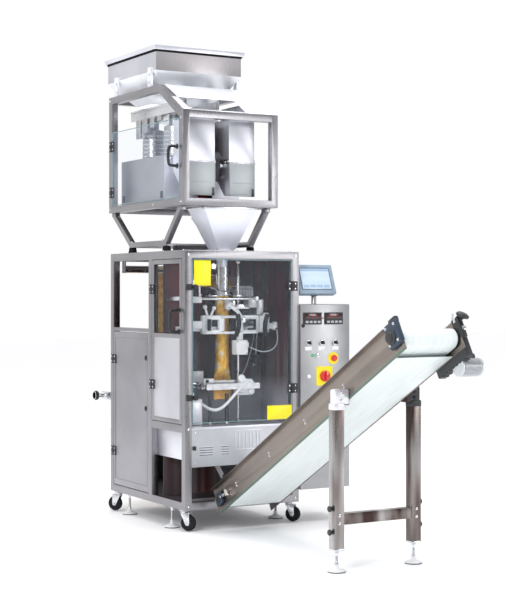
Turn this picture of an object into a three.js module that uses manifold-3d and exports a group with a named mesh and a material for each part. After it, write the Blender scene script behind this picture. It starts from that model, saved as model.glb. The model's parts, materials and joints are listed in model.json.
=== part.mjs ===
// Vertical form fill sealer with a linear weigher on its deck and a take-off conveyor in front.
// Millimetres. X to the machine's right, Y to its rear, Z up, floor at 0.
// The cabinet is drawn about x = 0 with its front at y = 0, then all is centred on its footprint.
import * as THREE from "three";
import { mergeVertices } from "three/addons/utils/BufferGeometryUtils.js";
import Module from "manifold-3d";

const wasm = await Module();
wasm.setup();

// ---------- driving dimensions ----------
const cabinetWidth = 700;
const cabinetDepth = 940;
const cabinetFloor = 114;
const deckHeight = 1486;
const tubeSize = 40;
const sheet = 2;
const deckThick = 4;
const gap = 3;
const touch = 0.3;

const midPostY = 398;
const sillHeight = 522;
const sideRailHeight = 1042;
const doorThick = 16;
const glassThick = 6;
const tableHeight = 550;
const tableLip = 210;
const innerPlateY = 330;

const tubeAxisY = 235;
const formingTubeRadius = 35;
const formingTubeWall = 1.5;
const formingTubeTop = deckHeight - 86;
const formingTubeBottom = 860;
const collarHeight = deckHeight - 216;
const filmGap = 1;
const filmThick = 2;
const bagWidth = 112;
const bagBottom = 672;
const jawHeight = 752;
const jawSize = 44;
const jawLength = 250;
const jawOpening = 38;
const beltUnitHeight = deckHeight - 396;

const deckHole = 160;
const funnelTopWidth = 330;
const funnelTopDepth = 200;
const funnelNeck = 116;
const spoutRadius = 30;
const funnelWall = 2;

const reelRadius = 150;
const reelWidth = 330;
const reelCoreRadius = 38;
const reelShaftRadius = 15;
const reelAxisY = cabinetDepth + reelRadius + 20;
const reelAxisZ = 655;
const rollerRadius = 22;
const rollerY = cabinetDepth - 90;
const rollerZ = deckHeight - 91;
const journalRadius = 8;

const boxWidth = 322;
const boxDepth = 300;
const boxBottom = 180;
const boxTop = deckHeight - 289;
const controlDoorThick = 18;
const panelAcross = 0.42;
const panelWidth = 244;
const panelHeight = 172;
const panelThick = 40;
const panelLean = THREE.MathUtils.degToRad(20);
const panelHeightZ = boxTop + 133;
const buttonY = -controlDoorThick;

const wheelRadius = 42;
const wheelWidth = 24;
const wheelLift = 2;
const casterOffset = 26;
const casterTurn = THREE.MathUtils.degToRad(35);
const axleRadius = 5;
const casterInset = 62;
const footRadius = 42;
const footStemRadius = 7;
const footInset = 140;

const weigherWidth = cabinetWidth - 108;
const weigherFront = 130;
const weigherRear = cabinetDepth + 145;
const weigherBottom = deckHeight + 244;
const weigherFrontTop = weigherBottom + 513;
const weigherTop = weigherBottom + 682;
const weigherSlopeEnd = weigherRear - 653;
const standWidth = weigherWidth - 32;
const standTube = 30;
const standRail = deckHeight + 34;
const standFrontTopY = 210;
const standFrontFootY = 385;
const standRearFootY = cabinetDepth - 118;

const hopperWidth = weigherWidth - 18;
const hopperFront = weigherRear - 596;
const hopperRear = weigherRear + 79;
const hopperTop = weigherTop + 229;
const hopperRim = 18;
const hopperWallBottom = hopperTop - 136;
const hopperTaperBottom = hopperTop - 205;
const hopperThroatBottom = hopperTop - 296;
const hopperTaperInset = 30 + 3 * tubeSize;
const hopperThroatWidth = 380;
const hopperThroatDepth = 180;

const panWidth = 400;
const panFront = 270;
const panRear = weigherRear - 100;
const panHeight = weigherBottom + 535;
const panWall = 55;
const housingWidth = weigherWidth - 112;
const housingFront = 470;
const housingRear = weigherRear - 55;
const housingTop = weigherBottom + 300;
const bucketWidth = 160;
const bucketSpacing = 250;
const bucketFront = 235;
const bucketDepth = 190;
const bucketTop = weigherBottom + 485;
const bucketBottom = weigherBottom + 70;
const gateTop = weigherBottom + 248;
const gateThick = 4;

const conveyorX = -30;
const conveyorTilt = THREE.MathUtils.degToRad(29.3);
const conveyorLength = 1900;
const sidePlateHeight = 140;
const sidePlateThick = 3;
const sidePlateFlange = 22;
const conveyorWidth = 318;
const beltWidth = conveyorWidth - 28;
const beltThick = 3;
const beltSlack = 0.5;
const drumRadius = 42;
const conveyorTailY = -80;
const conveyorTailZ = 92;
const conveyorLegY = -1280;
const conveyorLegTube = 50;
const legGap = 30;
const crossbarHeight = 238;

// ---------- finishes ----------
function finish(color, roughness, metalness, opacity = 1) {
  return new THREE.MeshStandardMaterial({
    color,
    roughness,
    metalness,
    opacity,
    transparent: opacity < 1,
  });
}
const stainless = finish(0xb9bcc0, 0.35, 1);
const brightSteel = finish(0xd6d8dc, 0.2, 1);
const darkSteel = finish(0x6b6561, 0.4, 1);
const paleSheet = finish(0xe4e8ee, 0.35, 0.6);
const castBlack = finish(0x1b1d20, 0.5, 0.2);
const rubber = finish(0x17181a, 0.8, 0);
const whitePlastic = finish(0xe9ebee, 0.4, 0);
const beltWhite = finish(0xdfe9e6, 0.6, 0);
const clearPlastic = finish(0xdfe8ee, 0.1, 0, 0.3);
const goldFilm = finish(0xd9a32e, 0.35, 0.3);
const redPlastic = finish(0xc81e1e, 0.35, 0);
const boxGrey = finish(0xa4a8ac, 0.4, 0.8);

// ---------- shape helpers ----------
// A box between two corners.
function block(x0, x1, y0, y1, z0, z1) {
  const shape = new THREE.BoxGeometry(x1 - x0, y1 - y0, z1 - z0);
  return shape.translate((x0 + x1) / 2, (y0 + y1) / 2, (z0 + z1) / 2);
}

// A round bar along x, y or z between two ends; the other two coordinates are given in order.
function bar(axis, from, to, a, b, radius, sides = 20) {
  const shape = new THREE.CylinderGeometry(radius, radius, to - from, sides);
  const middle = (from + to) / 2;
  if (axis === "x") return shape.rotateZ(Math.PI / 2).translate(middle, a, b);
  if (axis === "y") return shape.translate(a, middle, b);
  return shape.rotateX(Math.PI / 2).translate(a, b, middle);
}

function outline(points) {
  return new THREE.Shape(points.map(([u, v]) => new THREE.Vector2(u, v)));
}

// An outline in (y, z), as thick as x0 to x1.
function sideProfile(points, x0, x1) {
  const solid = new THREE.ExtrudeGeometry(outline(points), { depth: x1 - x0, bevelEnabled: false });
  solid.rotateY(Math.PI / 2).rotateX(Math.PI / 2);
  return solid.translate(x0, 0, 0);
}

// A straight square or flat bar between two (y, z) points, as wide as x0 to x1.
function strut(y0, z0, y1, z1, thick, x0, x1) {
  const half = new THREE.Vector2(y1 - y0, z1 - z0).normalize().multiplyScalar(thick / 2);
  const side = [-half.y, half.x];
  const points = [
    [y0 - side[0], z0 - side[1]],
    [y1 - side[0], z1 - side[1]],
    [y1 + side[0], z1 + side[1]],
    [y0 + side[0], z0 + side[1]],
  ];
  return sideProfile(points, x0, x1);
}

// A four-sided tapering block between two levels, with its centre on (x, y).
function taper(x, y, z0, width0, depth0, z1, width1, depth1) {
  const solid = new THREE.CylinderGeometry(Math.SQRT1_2, Math.SQRT1_2, 1, 4);
  solid.rotateY(Math.PI / 4).rotateX(Math.PI / 2);
  const places = solid.getAttribute("position");
  for (let i = 0; i < places.count; i += 1) {
    const top = places.getZ(i) > 0;
    const width = top ? width1 : width0;
    const depth = top ? depth1 : depth0;
    places.setXYZ(i, x + places.getX(i) * width, y + places.getY(i) * depth, top ? z1 : z0);
  }
  return solid;
}

function toSolid(geometry) {
  const bare = geometry.clone();
  bare.deleteAttribute("normal");
  bare.deleteAttribute("uv");
  const merged = mergeVertices(bare, 1e-3);
  const vertProperties = new Float32Array(merged.getAttribute("position").array);
  const triVerts = new Uint32Array(merged.getIndex().array);
  return new wasm.Manifold(new wasm.Mesh({ numProp: 3, vertProperties, triVerts }));
}

function toGeometry(solid) {
  const mesh = solid.getMesh();
  const geometry = new THREE.BufferGeometry();
  geometry.setAttribute("position", new THREE.BufferAttribute(mesh.vertProperties, 3));
  geometry.setIndex(new THREE.BufferAttribute(mesh.triVerts, 1));
  const flat = geometry.toNonIndexed();
  flat.computeVertexNormals();
  return flat;
}

// The first shape with the others joined on, then the cuts taken away.
function build(joined, cuts = []) {
  let solid = toSolid(joined[0]);
  for (const shape of joined.slice(1)) solid = solid.add(toSolid(shape));
  for (const shape of cuts) solid = solid.subtract(toSolid(shape));
  return toGeometry(solid);
}

const machine = new THREE.Group();

function piece(name, geometry, material, parent = machine) {
  const mesh = new THREE.Mesh(geometry, material);
  mesh.name = name;
  parent.add(mesh);
  return mesh;
}

// ---------- places worked out from the driving dimensions ----------
const halfWidth = cabinetWidth / 2;
const innerWidth = halfWidth - tubeSize;
const frameTop = deckHeight - deckThick;
const sillTop = sillHeight + tubeSize;
const midPostRear = midPostY + tubeSize;
const rearPostFront = cabinetDepth - tubeSize;
const topRailBottom = frameTop - tubeSize;
const floorRailTop = cabinetFloor + tubeSize;

// ---------- cabinet ----------
function cabinetFrame() {
  const tubes = [];
  for (const side of [-1, 1]) {
    const outer = side * halfWidth;
    const inner = side * innerWidth;
    const [x0, x1] = side < 0 ? [outer, inner] : [inner, outer];
    tubes.push(block(x0, x1, 0, tubeSize, cabinetFloor, frameTop));
    tubes.push(block(x0, x1, rearPostFront, cabinetDepth, cabinetFloor, frameTop));
    tubes.push(block(x0, x1, midPostY, midPostRear, cabinetFloor, frameTop));
    tubes.push(block(x0, x1, 0, cabinetDepth, cabinetFloor, floorRailTop));
    tubes.push(block(x0, x1, 0, cabinetDepth, topRailBottom, frameTop));
    tubes.push(block(x0, x1, 0, midPostY, sillHeight, sillTop));
    tubes.push(block(x0, x1, midPostY, cabinetDepth, sideRailHeight, sideRailHeight + tubeSize / 2));
  }
  for (const y of [0, rearPostFront]) {
    tubes.push(block(-halfWidth, halfWidth, y, y + tubeSize, topRailBottom, frameTop));
    tubes.push(block(-halfWidth, halfWidth, y, y + tubeSize, cabinetFloor, floorRailTop));
  }
  const lugs = [
    block(-innerWidth, -innerWidth + 6, rollerY - 20, rollerY + 20, rollerZ - 20, topRailBottom + 1),
    block(innerWidth - 6, innerWidth, rollerY - 20, rollerY + 20, rollerZ - 20, topRailBottom + 1),
  ];
  const bore = bar("x", -innerWidth - 1, innerWidth + 1, rollerY, rollerZ, journalRadius + 0.1, 24);
  return build([...tubes, ...lugs], [bore]);
}
piece("cabinet_frame", cabinetFrame(), stainless);

const deckHoleCut = bar("z", frameTop - 1, deckHeight + 1, 0, tubeAxisY, deckHole / 2, 24);
const deckSheet = block(-halfWidth, halfWidth, 0, cabinetDepth, frameTop, deckHeight);
piece("deck_plate", build([deckSheet], [deckHoleCut]), stainless);

// Folded sheet: a table that catches nothing, with the bag hole, and a front face turned down.
function tablePanel() {
  const front = tableHeight - tableLip;
  const top = block(-innerWidth, innerWidth, 0, innerPlateY, tableHeight - sheet, tableHeight);
  const face = block(-innerWidth, innerWidth, 0, sheet, front, tableHeight);
  const hole = block(-90, 90, tubeAxisY - 60, tubeAxisY + 60, tableHeight - sheet - 1, tableHeight + 1);
  return build([top, face], [hole]);
}
piece("table_panel", tablePanel(), paleSheet);

const rightSkin = block(halfWidth, halfWidth + sheet, 0, cabinetDepth, cabinetFloor, frameTop);
piece("right_side_skin", rightSkin, stainless);
const rearSkinTop = reelAxisZ - reelRadius - 30;
const rearSkin = block(-halfWidth, halfWidth, cabinetDepth, cabinetDepth + sheet, cabinetFloor, rearSkinTop);
piece("rear_skin", rearSkin, stainless);
const innerPlateTop = topRailBottom;
const wallThick = 8;
const innerPlate = block(-innerWidth, innerWidth, innerPlateY, innerPlateY + wallThick, floorRailTop, innerPlateTop);
const slotHalf = reelWidth / 2 + 10;
const filmSlot = block(-slotHalf, slotHalf, innerPlateY - 1, innerPlateY + wallThick + 1, collarHeight + 30, collarHeight + 90);
piece("mounting_wall", build([innerPlate], [filmSlot]), darkSteel);

// Open channel that slides each bag from under the jaws to the conveyor.
function chute() {
  const half = 115;
  const high = [innerPlateY - touch, tableHeight - 40];
  const low = [sheet + gap, 262];
  const floor = strut(low[0] + 6, low[1], high[0] - 6, high[1], sheet, -half, half);
  const walls = [-half, half - sheet].map((x) => strut(low[0] + 18, low[1] + 20, high[0] - 22, high[1] + 4,
    40, x, x + sheet));
  return build([floor, ...walls]);
}
piece("discharge_chute", chute(), stainless);

// Front side door: a frame of sheet with a window above and a closed panel below.
const leafBottom = sillTop + gap;
const leafTop = topRailBottom - gap;
const leafFront = tubeSize + gap;
const leafRear = midPostY - gap;
const leafX = -halfWidth;
function frontSideDoor() {
  const leaf = block(leafX, leafX + doorThick, leafFront, leafRear, leafBottom, leafTop);
  const rim = 24;
  const window = block(leafX - 1, leafX + doorThick + 1, leafFront + rim, leafRear - rim,
    sideRailHeight, leafTop - rim);
  const hollow = block(leafX + sheet, leafX + doorThick + 1, leafFront + rim, leafRear - rim,
    leafBottom + rim, sideRailHeight - rim);
  const pane = block(leafX + 5, leafX + 9, leafFront + rim - 1, leafRear - rim + 1,
    sideRailHeight - 1, leafTop - rim + 1);
  return toGeometry(toSolid(leaf).subtract(toSolid(window)).subtract(toSolid(hollow)).add(toSolid(pane)));
}
piece("front_side_door", frontSideDoor(), stainless);

const rearLeafBottom = floorRailTop + gap;
const rearLeafTop = sideRailHeight - gap;
const rearLeaf = block(leafX, leafX + doorThick, midPostRear + gap, rearPostFront - gap, rearLeafBottom, rearLeafTop);
piece("rear_side_door", rearLeaf, stainless);

const glassHalf = innerWidth - gap;
const glass = block(-glassHalf, glassHalf, -glassThick, 0, tableHeight + 20, topRailBottom - gap);
piece("front_door", glass.translate(0, glassThick, 0), clearPlastic);

// ---------- feet and casters ----------
// A foot's stem meets the frame, and its pad stands on the floor.
function foot(height) {
  const profile = [
    [0, 0],
    [footRadius, 0],
    [footRadius, 8],
    [footRadius * 0.4, 20],
    [footStemRadius, 24],
    [footStemRadius, height],
    [0, height],
  ];
  const points = profile.map(([r, z]) => new THREE.Vector2(r, z));
  return new THREE.LatheGeometry(points, 20).rotateX(Math.PI / 2);
}

// A caster hangs from its plate; its wheel trails behind the swivel.
function casterFork(trail) {
  const plateTop = cabinetFloor;
  const [near, far] = trail > 0 ? [-16, trail + 12] : [trail - 12, 16];
  const hub = wheelRadius + wheelLift;
  const cheek = wheelWidth / 2 + gap;
  const crown = 2 * wheelRadius + wheelLift + gap + 4;
  const parts = [
    block(-22, 22, -22, 22, plateTop - 6, plateTop),
    bar("z", crown, plateTop - 5, 0, 0, 16),
    block(-cheek - sheet, cheek + sheet, near, far, crown - 4, crown + 2),
  ];
  for (const side of [-1, 1]) {
    const x0 = side < 0 ? -cheek - sheet : cheek;
    const points = [
      [near, crown],
      [trail - 12, hub - 12],
      [trail + 12, hub - 12],
      [far, crown],
    ];
    parts.push(sideProfile(points, x0, x0 + sheet));
  }
  parts.push(bar("x", -cheek - 1, cheek + 1, trail, hub, axleRadius, 12));
  return build(parts);
}

function casterWheel() {
  const half = wheelWidth / 2;
  const bore = axleRadius + 0.1;
  const profile = [
    [bore, -half],
    [wheelRadius - 4, -half],
    [wheelRadius, -half + 4],
    [wheelRadius, half - 4],
    [wheelRadius - 4, half],
    [bore, half],
    [bore, -half],
  ];
  const points = profile.map(([r, z]) => new THREE.Vector2(r, z));
  return new THREE.LatheGeometry(points, 24).rotateZ(-Math.PI / 2);
}

const corners = [
  ["front_left", -1, 0],
  ["front_right", 1, 0],
  ["rear_left", -1, 1],
  ["rear_right", 1, 1],
];
for (const [where, side, back] of corners) {
  const x = side * (halfWidth - tubeSize / 2 - 6);
  const y = back ? cabinetDepth - casterInset : casterInset;
  const caster = new THREE.Group();
  caster.position.set(x, y, 0);
  caster.rotation.z = casterTurn;
  machine.add(caster);
  const trail = back ? casterOffset : -casterOffset;
  piece(`caster_fork_${where}`, casterFork(trail), brightSteel, caster);
  const wheel = piece(`caster_wheel_${where}`, casterWheel(), rubber, caster);
  wheel.position.set(0, trail, wheelRadius + wheelLift);
  const screw = piece(`screw_foot_${where}`, foot(cabinetFloor), brightSteel);
  screw.position.set(x, back ? cabinetDepth - footInset - casterInset : footInset + casterInset, 0);
}

// ---------- bag maker ----------
// Hopper-shaped funnel from the weigher into the forming tube.
function productFunnel() {
  const top = weigherBottom - gap;
  const neck = deckHeight + 20;
  const spout = formingTubeTop + 60;
  const outer = [
    taper(0, tubeAxisY, neck, funnelNeck, funnelNeck, top, funnelTopWidth, funnelTopDepth),
    taper(0, tubeAxisY, spout, 2 * spoutRadius, 2 * spoutRadius, neck, funnelNeck, funnelNeck),
    bar("z", formingTubeTop - 60, spout + 1, 0, tubeAxisY, spoutRadius, 24),
  ];
  const wall = 2 * funnelWall;
  const inner = [
    taper(0, tubeAxisY, neck, funnelNeck - wall, funnelNeck - wall, top + 0.1, funnelTopWidth - wall,
      funnelTopDepth - wall),
    taper(0, tubeAxisY, spout, 2 * spoutRadius - wall, 2 * spoutRadius - wall, neck + 0.1, funnelNeck - wall,
      funnelNeck - wall),
    bar("z", formingTubeTop - 61, spout + 2, 0, tubeAxisY, spoutRadius - funnelWall, 24),
  ];
  return build(outer, inner);
}
piece("product_funnel", productFunnel(), paleSheet);

// A round pipe wall about the forming tube's axis.
function pipe(radius, wall, z0, z1) {
  const outer = bar("z", z0, z1, 0, tubeAxisY, radius, 32);
  return build([outer], [bar("z", z0 - 1, z1 + 1, 0, tubeAxisY, radius - wall, 32)]);
}
function formingTube() {
  const wall = pipe(formingTubeRadius, formingTubeWall, formingTubeBottom, formingTubeTop);
  const lugTop = formingTubeTop - 8;
  const lug = block(-26, 26, tubeAxisY + formingTubeRadius - 1, innerPlateY, lugTop - 8, lugTop);
  const foot = block(-40, 40, innerPlateY - 6, innerPlateY, lugTop - 8, lugTop + 30);
  const bore = bar("z", formingTubeBottom - 1, formingTubeTop + 1, 0, tubeAxisY, formingTubeRadius - 1, 32);
  return build([wall, toGeometry(toSolid(lug).subtract(toSolid(bore))), foot]);
}
piece("forming_tube", formingTube(), brightSteel);

// Shoulder that turns the flat film down round the tube, held off the mounting wall.
function formingCollar() {
  const hole = formingTubeRadius + 2 * filmGap + filmThick;
  const low = collarHeight - 30;
  const high = collarHeight + 26;
  const ring = bar("z", low, collarHeight, 0, tubeAxisY, hole + 3, 32);
  const wingWidth = 2 * hole + 14;
  const wingDepth = 2 * hole + 6;
  const wing = taper(0, tubeAxisY + 12, collarHeight - 4, wingWidth, wingDepth, high, 210, 150);
  const wingHollow = taper(0, tubeAxisY + 12, collarHeight, wingWidth - 8, wingDepth - 8, high + 0.1, 204, 144);
  const plate = block(-110, 110, tubeAxisY - 50, innerPlateY, low, low + 6);
  const bore = bar("z", low - 1, high + 1, 0, tubeAxisY, hole, 32);
  const front = block(-120, 120, tubeAxisY - 90, tubeAxisY - 30, collarHeight + 4, high + 1);
  return build([ring, wing, plate], [wingHollow, bore, front]);
}
piece("forming_collar", formingCollar(), brightSteel);

// Film drawn down round the tube, then flattened towards the jaws as the bag's mouth.
function filmBag() {
  const inner = formingTubeRadius + filmGap;
  const outer = inner + filmThick;
  const sleeveBottom = formingTubeBottom - 12;
  const sleeve = bar("z", sleeveBottom, collarHeight + 20, 0, tubeAxisY, outer, 32);
  const bore = bar("z", sleeveBottom + 10, collarHeight + 21, 0, tubeAxisY, inner, 32);
  const mouth = taper(0, tubeAxisY, jawHeight + jawSize / 2, bagWidth, 4, sleeveBottom + 6, 2 * outer - 18, 2 * outer - 18);
  const seal = block(-bagWidth / 2, bagWidth / 2, tubeAxisY - 2, tubeAxisY + 2, bagBottom,
    jawHeight + jawSize / 2 + 1);
  return build([sleeve, mouth, seal], [bore]);
}
piece("film_bag", filmBag(), goldFilm);

// Pull-down unit: a cross beam with a belt housing on each side of the tube and its drive box.
const unitClear = formingTubeRadius + filmGap + filmThick + 1.5;
function pulldownUnit() {
  const low = beltUnitHeight - 48;
  const high = beltUnitHeight + 48;
  const rear = innerPlateY;
  const beamLeft = 60 - innerWidth;
  const beamRight = innerWidth - 40;
  const parts = [
    block(beamLeft, beamRight, tubeAxisY - 105, tubeAxisY - 75, beltUnitHeight - 22, beltUnitHeight + 22),
    block(unitClear + 34, beamRight - 10, tubeAxisY - 80, rear, low + 10, low + 34),
    block(beamLeft + 10, -unitClear - 34, tubeAxisY - 80, rear, low + 10, low + 34),
    block(120, 232, tubeAxisY - 100, rear, low + 20, high + 60),
    block(60, 130, tubeAxisY - 70, tubeAxisY - 4, low - 105, low + 12),
  ];
  for (const side of [-1, 1]) {
    const near = side * unitClear;
    const far = side * (unitClear + 60);
    parts.push(block(Math.min(near, far), Math.max(near, far), tubeAxisY - 82, tubeAxisY + 30, low, high));
  }
  return build(parts);
}
piece("pulldown_unit", pulldownUnit(), whitePlastic);

// Heater bar that closes the back seam, standing off in front of the tube at rest.
const sealerTravel = 12;
const sealerFace = tubeAxisY - formingTubeRadius - filmGap - filmThick - sealerTravel - 1;
function verticalSealer() {
  const top = collarHeight - 34;
  const shoe = block(-9, 9, sealerFace - 18, sealerFace, beltUnitHeight + 70, top);
  const body = block(-24, 24, sealerFace - 46, sealerFace - 17, beltUnitHeight + 80, top - 10);
  const arm = block(20, 120 - touch, sealerFace - 44, sealerFace - 28, beltUnitHeight + 82, beltUnitHeight + 106);
  return build([shoe, body, arm, bar("y", sealerFace - 80, sealerFace - 45, 0, beltUnitHeight + 114, 13)]);
}
piece("vertical_sealer", verticalSealer(), brightSteel);

// Jaws ride on two rods that stand out of the mounting wall.
const rodX = jawLength / 2 + 24;
const rodRadius = 9;
function jaw(front) {
  const face = tubeAxisY + (front ? -jawOpening : jawOpening);
  const y0 = front ? face - jawSize : face;
  const low = jawHeight - jawSize / 2;
  const high = jawHeight + jawSize / 2;
  const half = rodX + rodRadius + 12;
  const parts = [
    block(-jawLength / 2, jawLength / 2, y0, y0 + jawSize, low, high),
    block(-half, half, y0 + (front ? 0 : 14), y0 + (front ? 30 : jawSize), low + 6, high - 6),
  ];
  const bores = [-1, 1].map((side) => bar("y", y0 - 1, y0 + jawSize + 1, side * rodX, jawHeight, rodRadius + 0.1, 24));
  return build(parts, bores);
}
piece("front_jaw", jaw(true), stainless);
piece("rear_jaw", jaw(false), stainless);

// Both rods and their front yoke, fixed to the wall.
function jawRods() {
  const front = tubeAxisY - jawOpening - jawSize - 34;
  const parts = [-1, 1].map((side) => bar("y", front, innerPlateY, side * rodX, jawHeight, rodRadius, 24));
  parts.push(block(-rodX - 16, rodX + 16, front - 14, front + 1, jawHeight - 16, jawHeight + 16));
  return build(parts);
}
piece("jaw_guide_rods", jawRods(), brightSteel);

// ---------- film reel at the rear ----------
function filmReel() {
  const half = reelWidth / 2;
  const roll = bar("x", -half, half, reelAxisY, reelAxisZ, reelRadius, 40);
  return build([roll], [bar("x", -half - 1, half + 1, reelAxisY, reelAxisZ, reelCoreRadius, 32)]);
}
piece("film_reel", filmReel(), goldFilm);

// Two arms bolted to the rear posts, and the shaft with its centring cones.
function reelHolder() {
  const armX = halfWidth - tubeSize;
  const parts = [bar("x", -halfWidth - 8, halfWidth - 4, reelAxisY, reelAxisZ, reelShaftRadius, 24)];
  for (const side of [-1, 1]) {
    const x0 = side < 0 ? -armX - 12 : armX;
    parts.push(block(x0, x0 + 12, cabinetDepth, reelAxisY + 24, reelAxisZ - 24, reelAxisZ + 24));
    parts.push(block(x0 - 14, x0 + 26, cabinetDepth, cabinetDepth + 8, reelAxisZ - 40, reelAxisZ + 40));
    const inner = side * (reelWidth / 2 - 20);
    const outer = side * (reelWidth / 2 + 30);
    const cone = [Math.min(inner, outer), Math.max(inner, outer)];
    parts.push(bar("x", cone[0], cone[1], reelAxisY, reelAxisZ, reelCoreRadius - touch, 32));
  }
  parts.push(bar("x", -halfWidth - 30, -halfWidth - 7, reelAxisY, reelAxisZ, 24, 20));
  return build(parts);
}
piece("reel_holder", reelHolder(), brightSteel);

// Roller with its journals in the top side rails' brackets.
function guideRoller() {
  const end = innerWidth - 6 - 1;
  const body = bar("x", -end, end, rollerY, rollerZ, rollerRadius, 24);
  return build([body, bar("x", -innerWidth + 1, innerWidth - 1, rollerY, rollerZ, journalRadius, 24)]);
}
piece("guide_roller", guideRoller(), brightSteel);

// ---------- control box ----------
const boxLeft = halfWidth + sheet;
const boxRight = boxLeft + boxWidth;
function controlBox() {
  const shell = block(boxLeft, boxRight, gap, boxDepth, boxBottom, boxTop);
  const inside = block(boxLeft + sheet, boxRight - sheet, 0, boxDepth - sheet, boxBottom + sheet, boxTop - sheet);
  const post = bar("z", boxTop - 1, panelHeightZ - panelHeight / 2 - 2, boxLeft + boxWidth * panelAcross, 60, 14, 20);
  return build([shell, post], [inside]);
}
piece("control_box", controlBox(), boxGrey);
const stopX = boxLeft + boxWidth * 0.66;
const stopZ = boxTop - 299;
const stopStem = 9;
const stopTravel = 6;
const doorLeaf = block(boxLeft, boxRight, -controlDoorThick, 0, boxBottom, boxTop);
const stopHole = bar("y", -controlDoorThick - 1, 1, stopX, stopZ, stopStem + 0.1, 24);
piece("control_door", build([doorLeaf], [stopHole]), boxGrey);

const panelX = boxLeft + boxWidth * panelAcross;
const panelY = 60;
function operatorPanel() {
  const half = panelWidth / 2;
  const body = block(-half, half, -panelThick / 2, panelThick / 2, -panelHeight / 2, panelHeight / 2);
  body.rotateX(-panelLean);
  const foot = bar("z", -panelHeight / 2 - 2, -panelHeight / 2 + 22, 0, 0, 20, 20);
  return build([body, foot]);
}
const panelMesh = piece("operator_panel", operatorPanel(), boxGrey);
panelMesh.position.set(panelX, panelY, panelHeightZ);

function knob(radius, depth, grip) {
  const disc = bar("y", -depth, 0, 0, 0, radius, 24);
  return build([disc, block(-grip / 2, grip / 2, -depth - 14, -depth + 1, -radius + 3, radius - 3)]);
}
function onDoor(name, geometry, material, across, height) {
  const mesh = piece(name, geometry, material);
  mesh.position.set(boxLeft + boxWidth * across, buttonY, height);
}
onDoor("main_switch", knob(30, 22, 14), redPlastic, 0.48, boxTop - 397);
function stopButton() {
  const face = -controlDoorThick - stopTravel - 2;
  const head = bar("y", face - 16, face, stopX, stopZ, 18, 24);
  return build([head, bar("y", face - 1, -stopTravel - 2, stopX, stopZ, stopStem, 24)]);
}
piece("stop_button", stopButton(), redPlastic);
const selectorZ = boxTop - 211;
onDoor("selector_1", knob(10, 14, 7), castBlack, 0.16, selectorZ);
onDoor("selector_2", knob(10, 14, 7), castBlack, 0.43, selectorZ);
onDoor("selector_3", knob(10, 14, 7), castBlack, 0.7, selectorZ);

// ---------- weigher ----------
// Two inclined side frames on the deck, joined by a rear cross tube.
function weigherStand() {
  const parts = [];
  const half = standWidth / 2;
  const top = weigherBottom;
  const rail = standRail + standTube / 2;
  for (const side of [-1, 1]) {
    const x0 = side < 0 ? -half : half - standTube;
    const x1 = x0 + standTube;
    parts.push(block(x0, x1, standFrontFootY - 15, standRearFootY + 15, standRail, standRail + standTube));
    parts.push(strut(standFrontFootY, rail, standFrontTopY, top - 15, standTube, x0, x1));
    parts.push(strut(standRearFootY, rail, weigherRear - 32, top - 15, standTube, x0, x1));
    parts.push(block(x0, x1, standFrontTopY - 24, standFrontTopY + 24, top - 22, top));
    parts.push(block(x0, x1, weigherRear - 56, weigherRear - 8, top - 22, top));
    for (const y of [standFrontFootY, standRearFootY]) {
      parts.push(bar("z", deckHeight, standRail + 1, (x0 + x1) / 2, y, 13, 16));
    }
  }
  parts.push(block(-half, half, standRearFootY - 15, standRearFootY + 15, standRail, standRail + standTube));
  return build(parts);
}
piece("weigher_stand", weigherStand(), stainless);

function weigherFrame() {
  const parts = [];
  const half = weigherWidth / 2;
  const t = tubeSize;
  for (const side of [-1, 1]) {
    const x0 = side < 0 ? -half : half - t;
    const x1 = x0 + t;
    parts.push(block(x0, x1, weigherFront, weigherFront + t, weigherBottom, weigherFrontTop));
    parts.push(block(x0, x1, weigherRear - t, weigherRear, weigherBottom, weigherTop));
    parts.push(block(x0, x1, weigherFront, weigherRear, weigherBottom, weigherBottom + t));
    parts.push(block(x0, x1, weigherSlopeEnd, weigherRear, weigherTop - t, weigherTop));
    const slope = [
      [weigherFront, weigherFrontTop - t],
      [weigherFront + t, weigherFrontTop - t],
      [weigherSlopeEnd, weigherTop - t],
      [weigherSlopeEnd, weigherTop],
      [weigherFront, weigherFrontTop],
    ];
    parts.push(sideProfile(slope, x0, x1));
  }
  for (const [y, z] of [
    [weigherFront, weigherBottom],
    [weigherRear - t, weigherBottom],
    [weigherRear - t, weigherTop - t],
    [weigherFront, weigherFrontTop - t],
    [housingFront, weigherBottom],
  ]) {
    parts.push(block(-half, half, y, y + t, z, z + t));
  }
  return build(parts);
}
piece("weigher_frame", weigherFrame(), stainless);

function feedHopper() {
  const y = (hopperFront + hopperRear) / 2;
  const depth = hopperRear - hopperFront;
  const inset = 30;
  const levels = [
    [hopperTop, hopperWidth - inset, depth - inset],
    [hopperWallBottom, hopperWidth - inset, depth - inset],
    [hopperTaperBottom, hopperWidth - 114, depth - hopperTaperInset],
    [hopperThroatBottom, hopperThroatWidth, hopperThroatDepth],
  ];
  const rim = block(-hopperWidth / 2, hopperWidth / 2, hopperFront, hopperRear, hopperTop - hopperRim, hopperTop);
  const outer = [rim];
  const inner = [];
  const wall = 2 * sheet;
  for (let i = 1; i < levels.length; i += 1) {
    const [z1, w1, d1] = levels[i - 1];
    const [z0, w0, d0] = levels[i];
    outer.push(taper(0, y, z0, w0, d0, z1, w1, d1));
    inner.push(taper(0, y, z0 - 0.1, w0 - wall, d0 - wall, z1 + 0.1, w1 - wall, d1 - wall));
  }
  const halfWall = (hopperWidth - inset) / 2;
  const legs = [];
  for (const side of [-1, 1]) {
    const x0 = side < 0 ? -halfWall - 12 : halfWall - 2;
    for (const legY of [hopperFront + 60, weigherRear - tubeSize - 50]) {
      legs.push(block(x0, x0 + 14, legY, legY + 40, weigherTop, hopperWallBottom + 20));
    }
  }
  return build([...outer, ...legs], inner);
}
piece("feed_hopper", feedHopper(), paleSheet);

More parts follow.
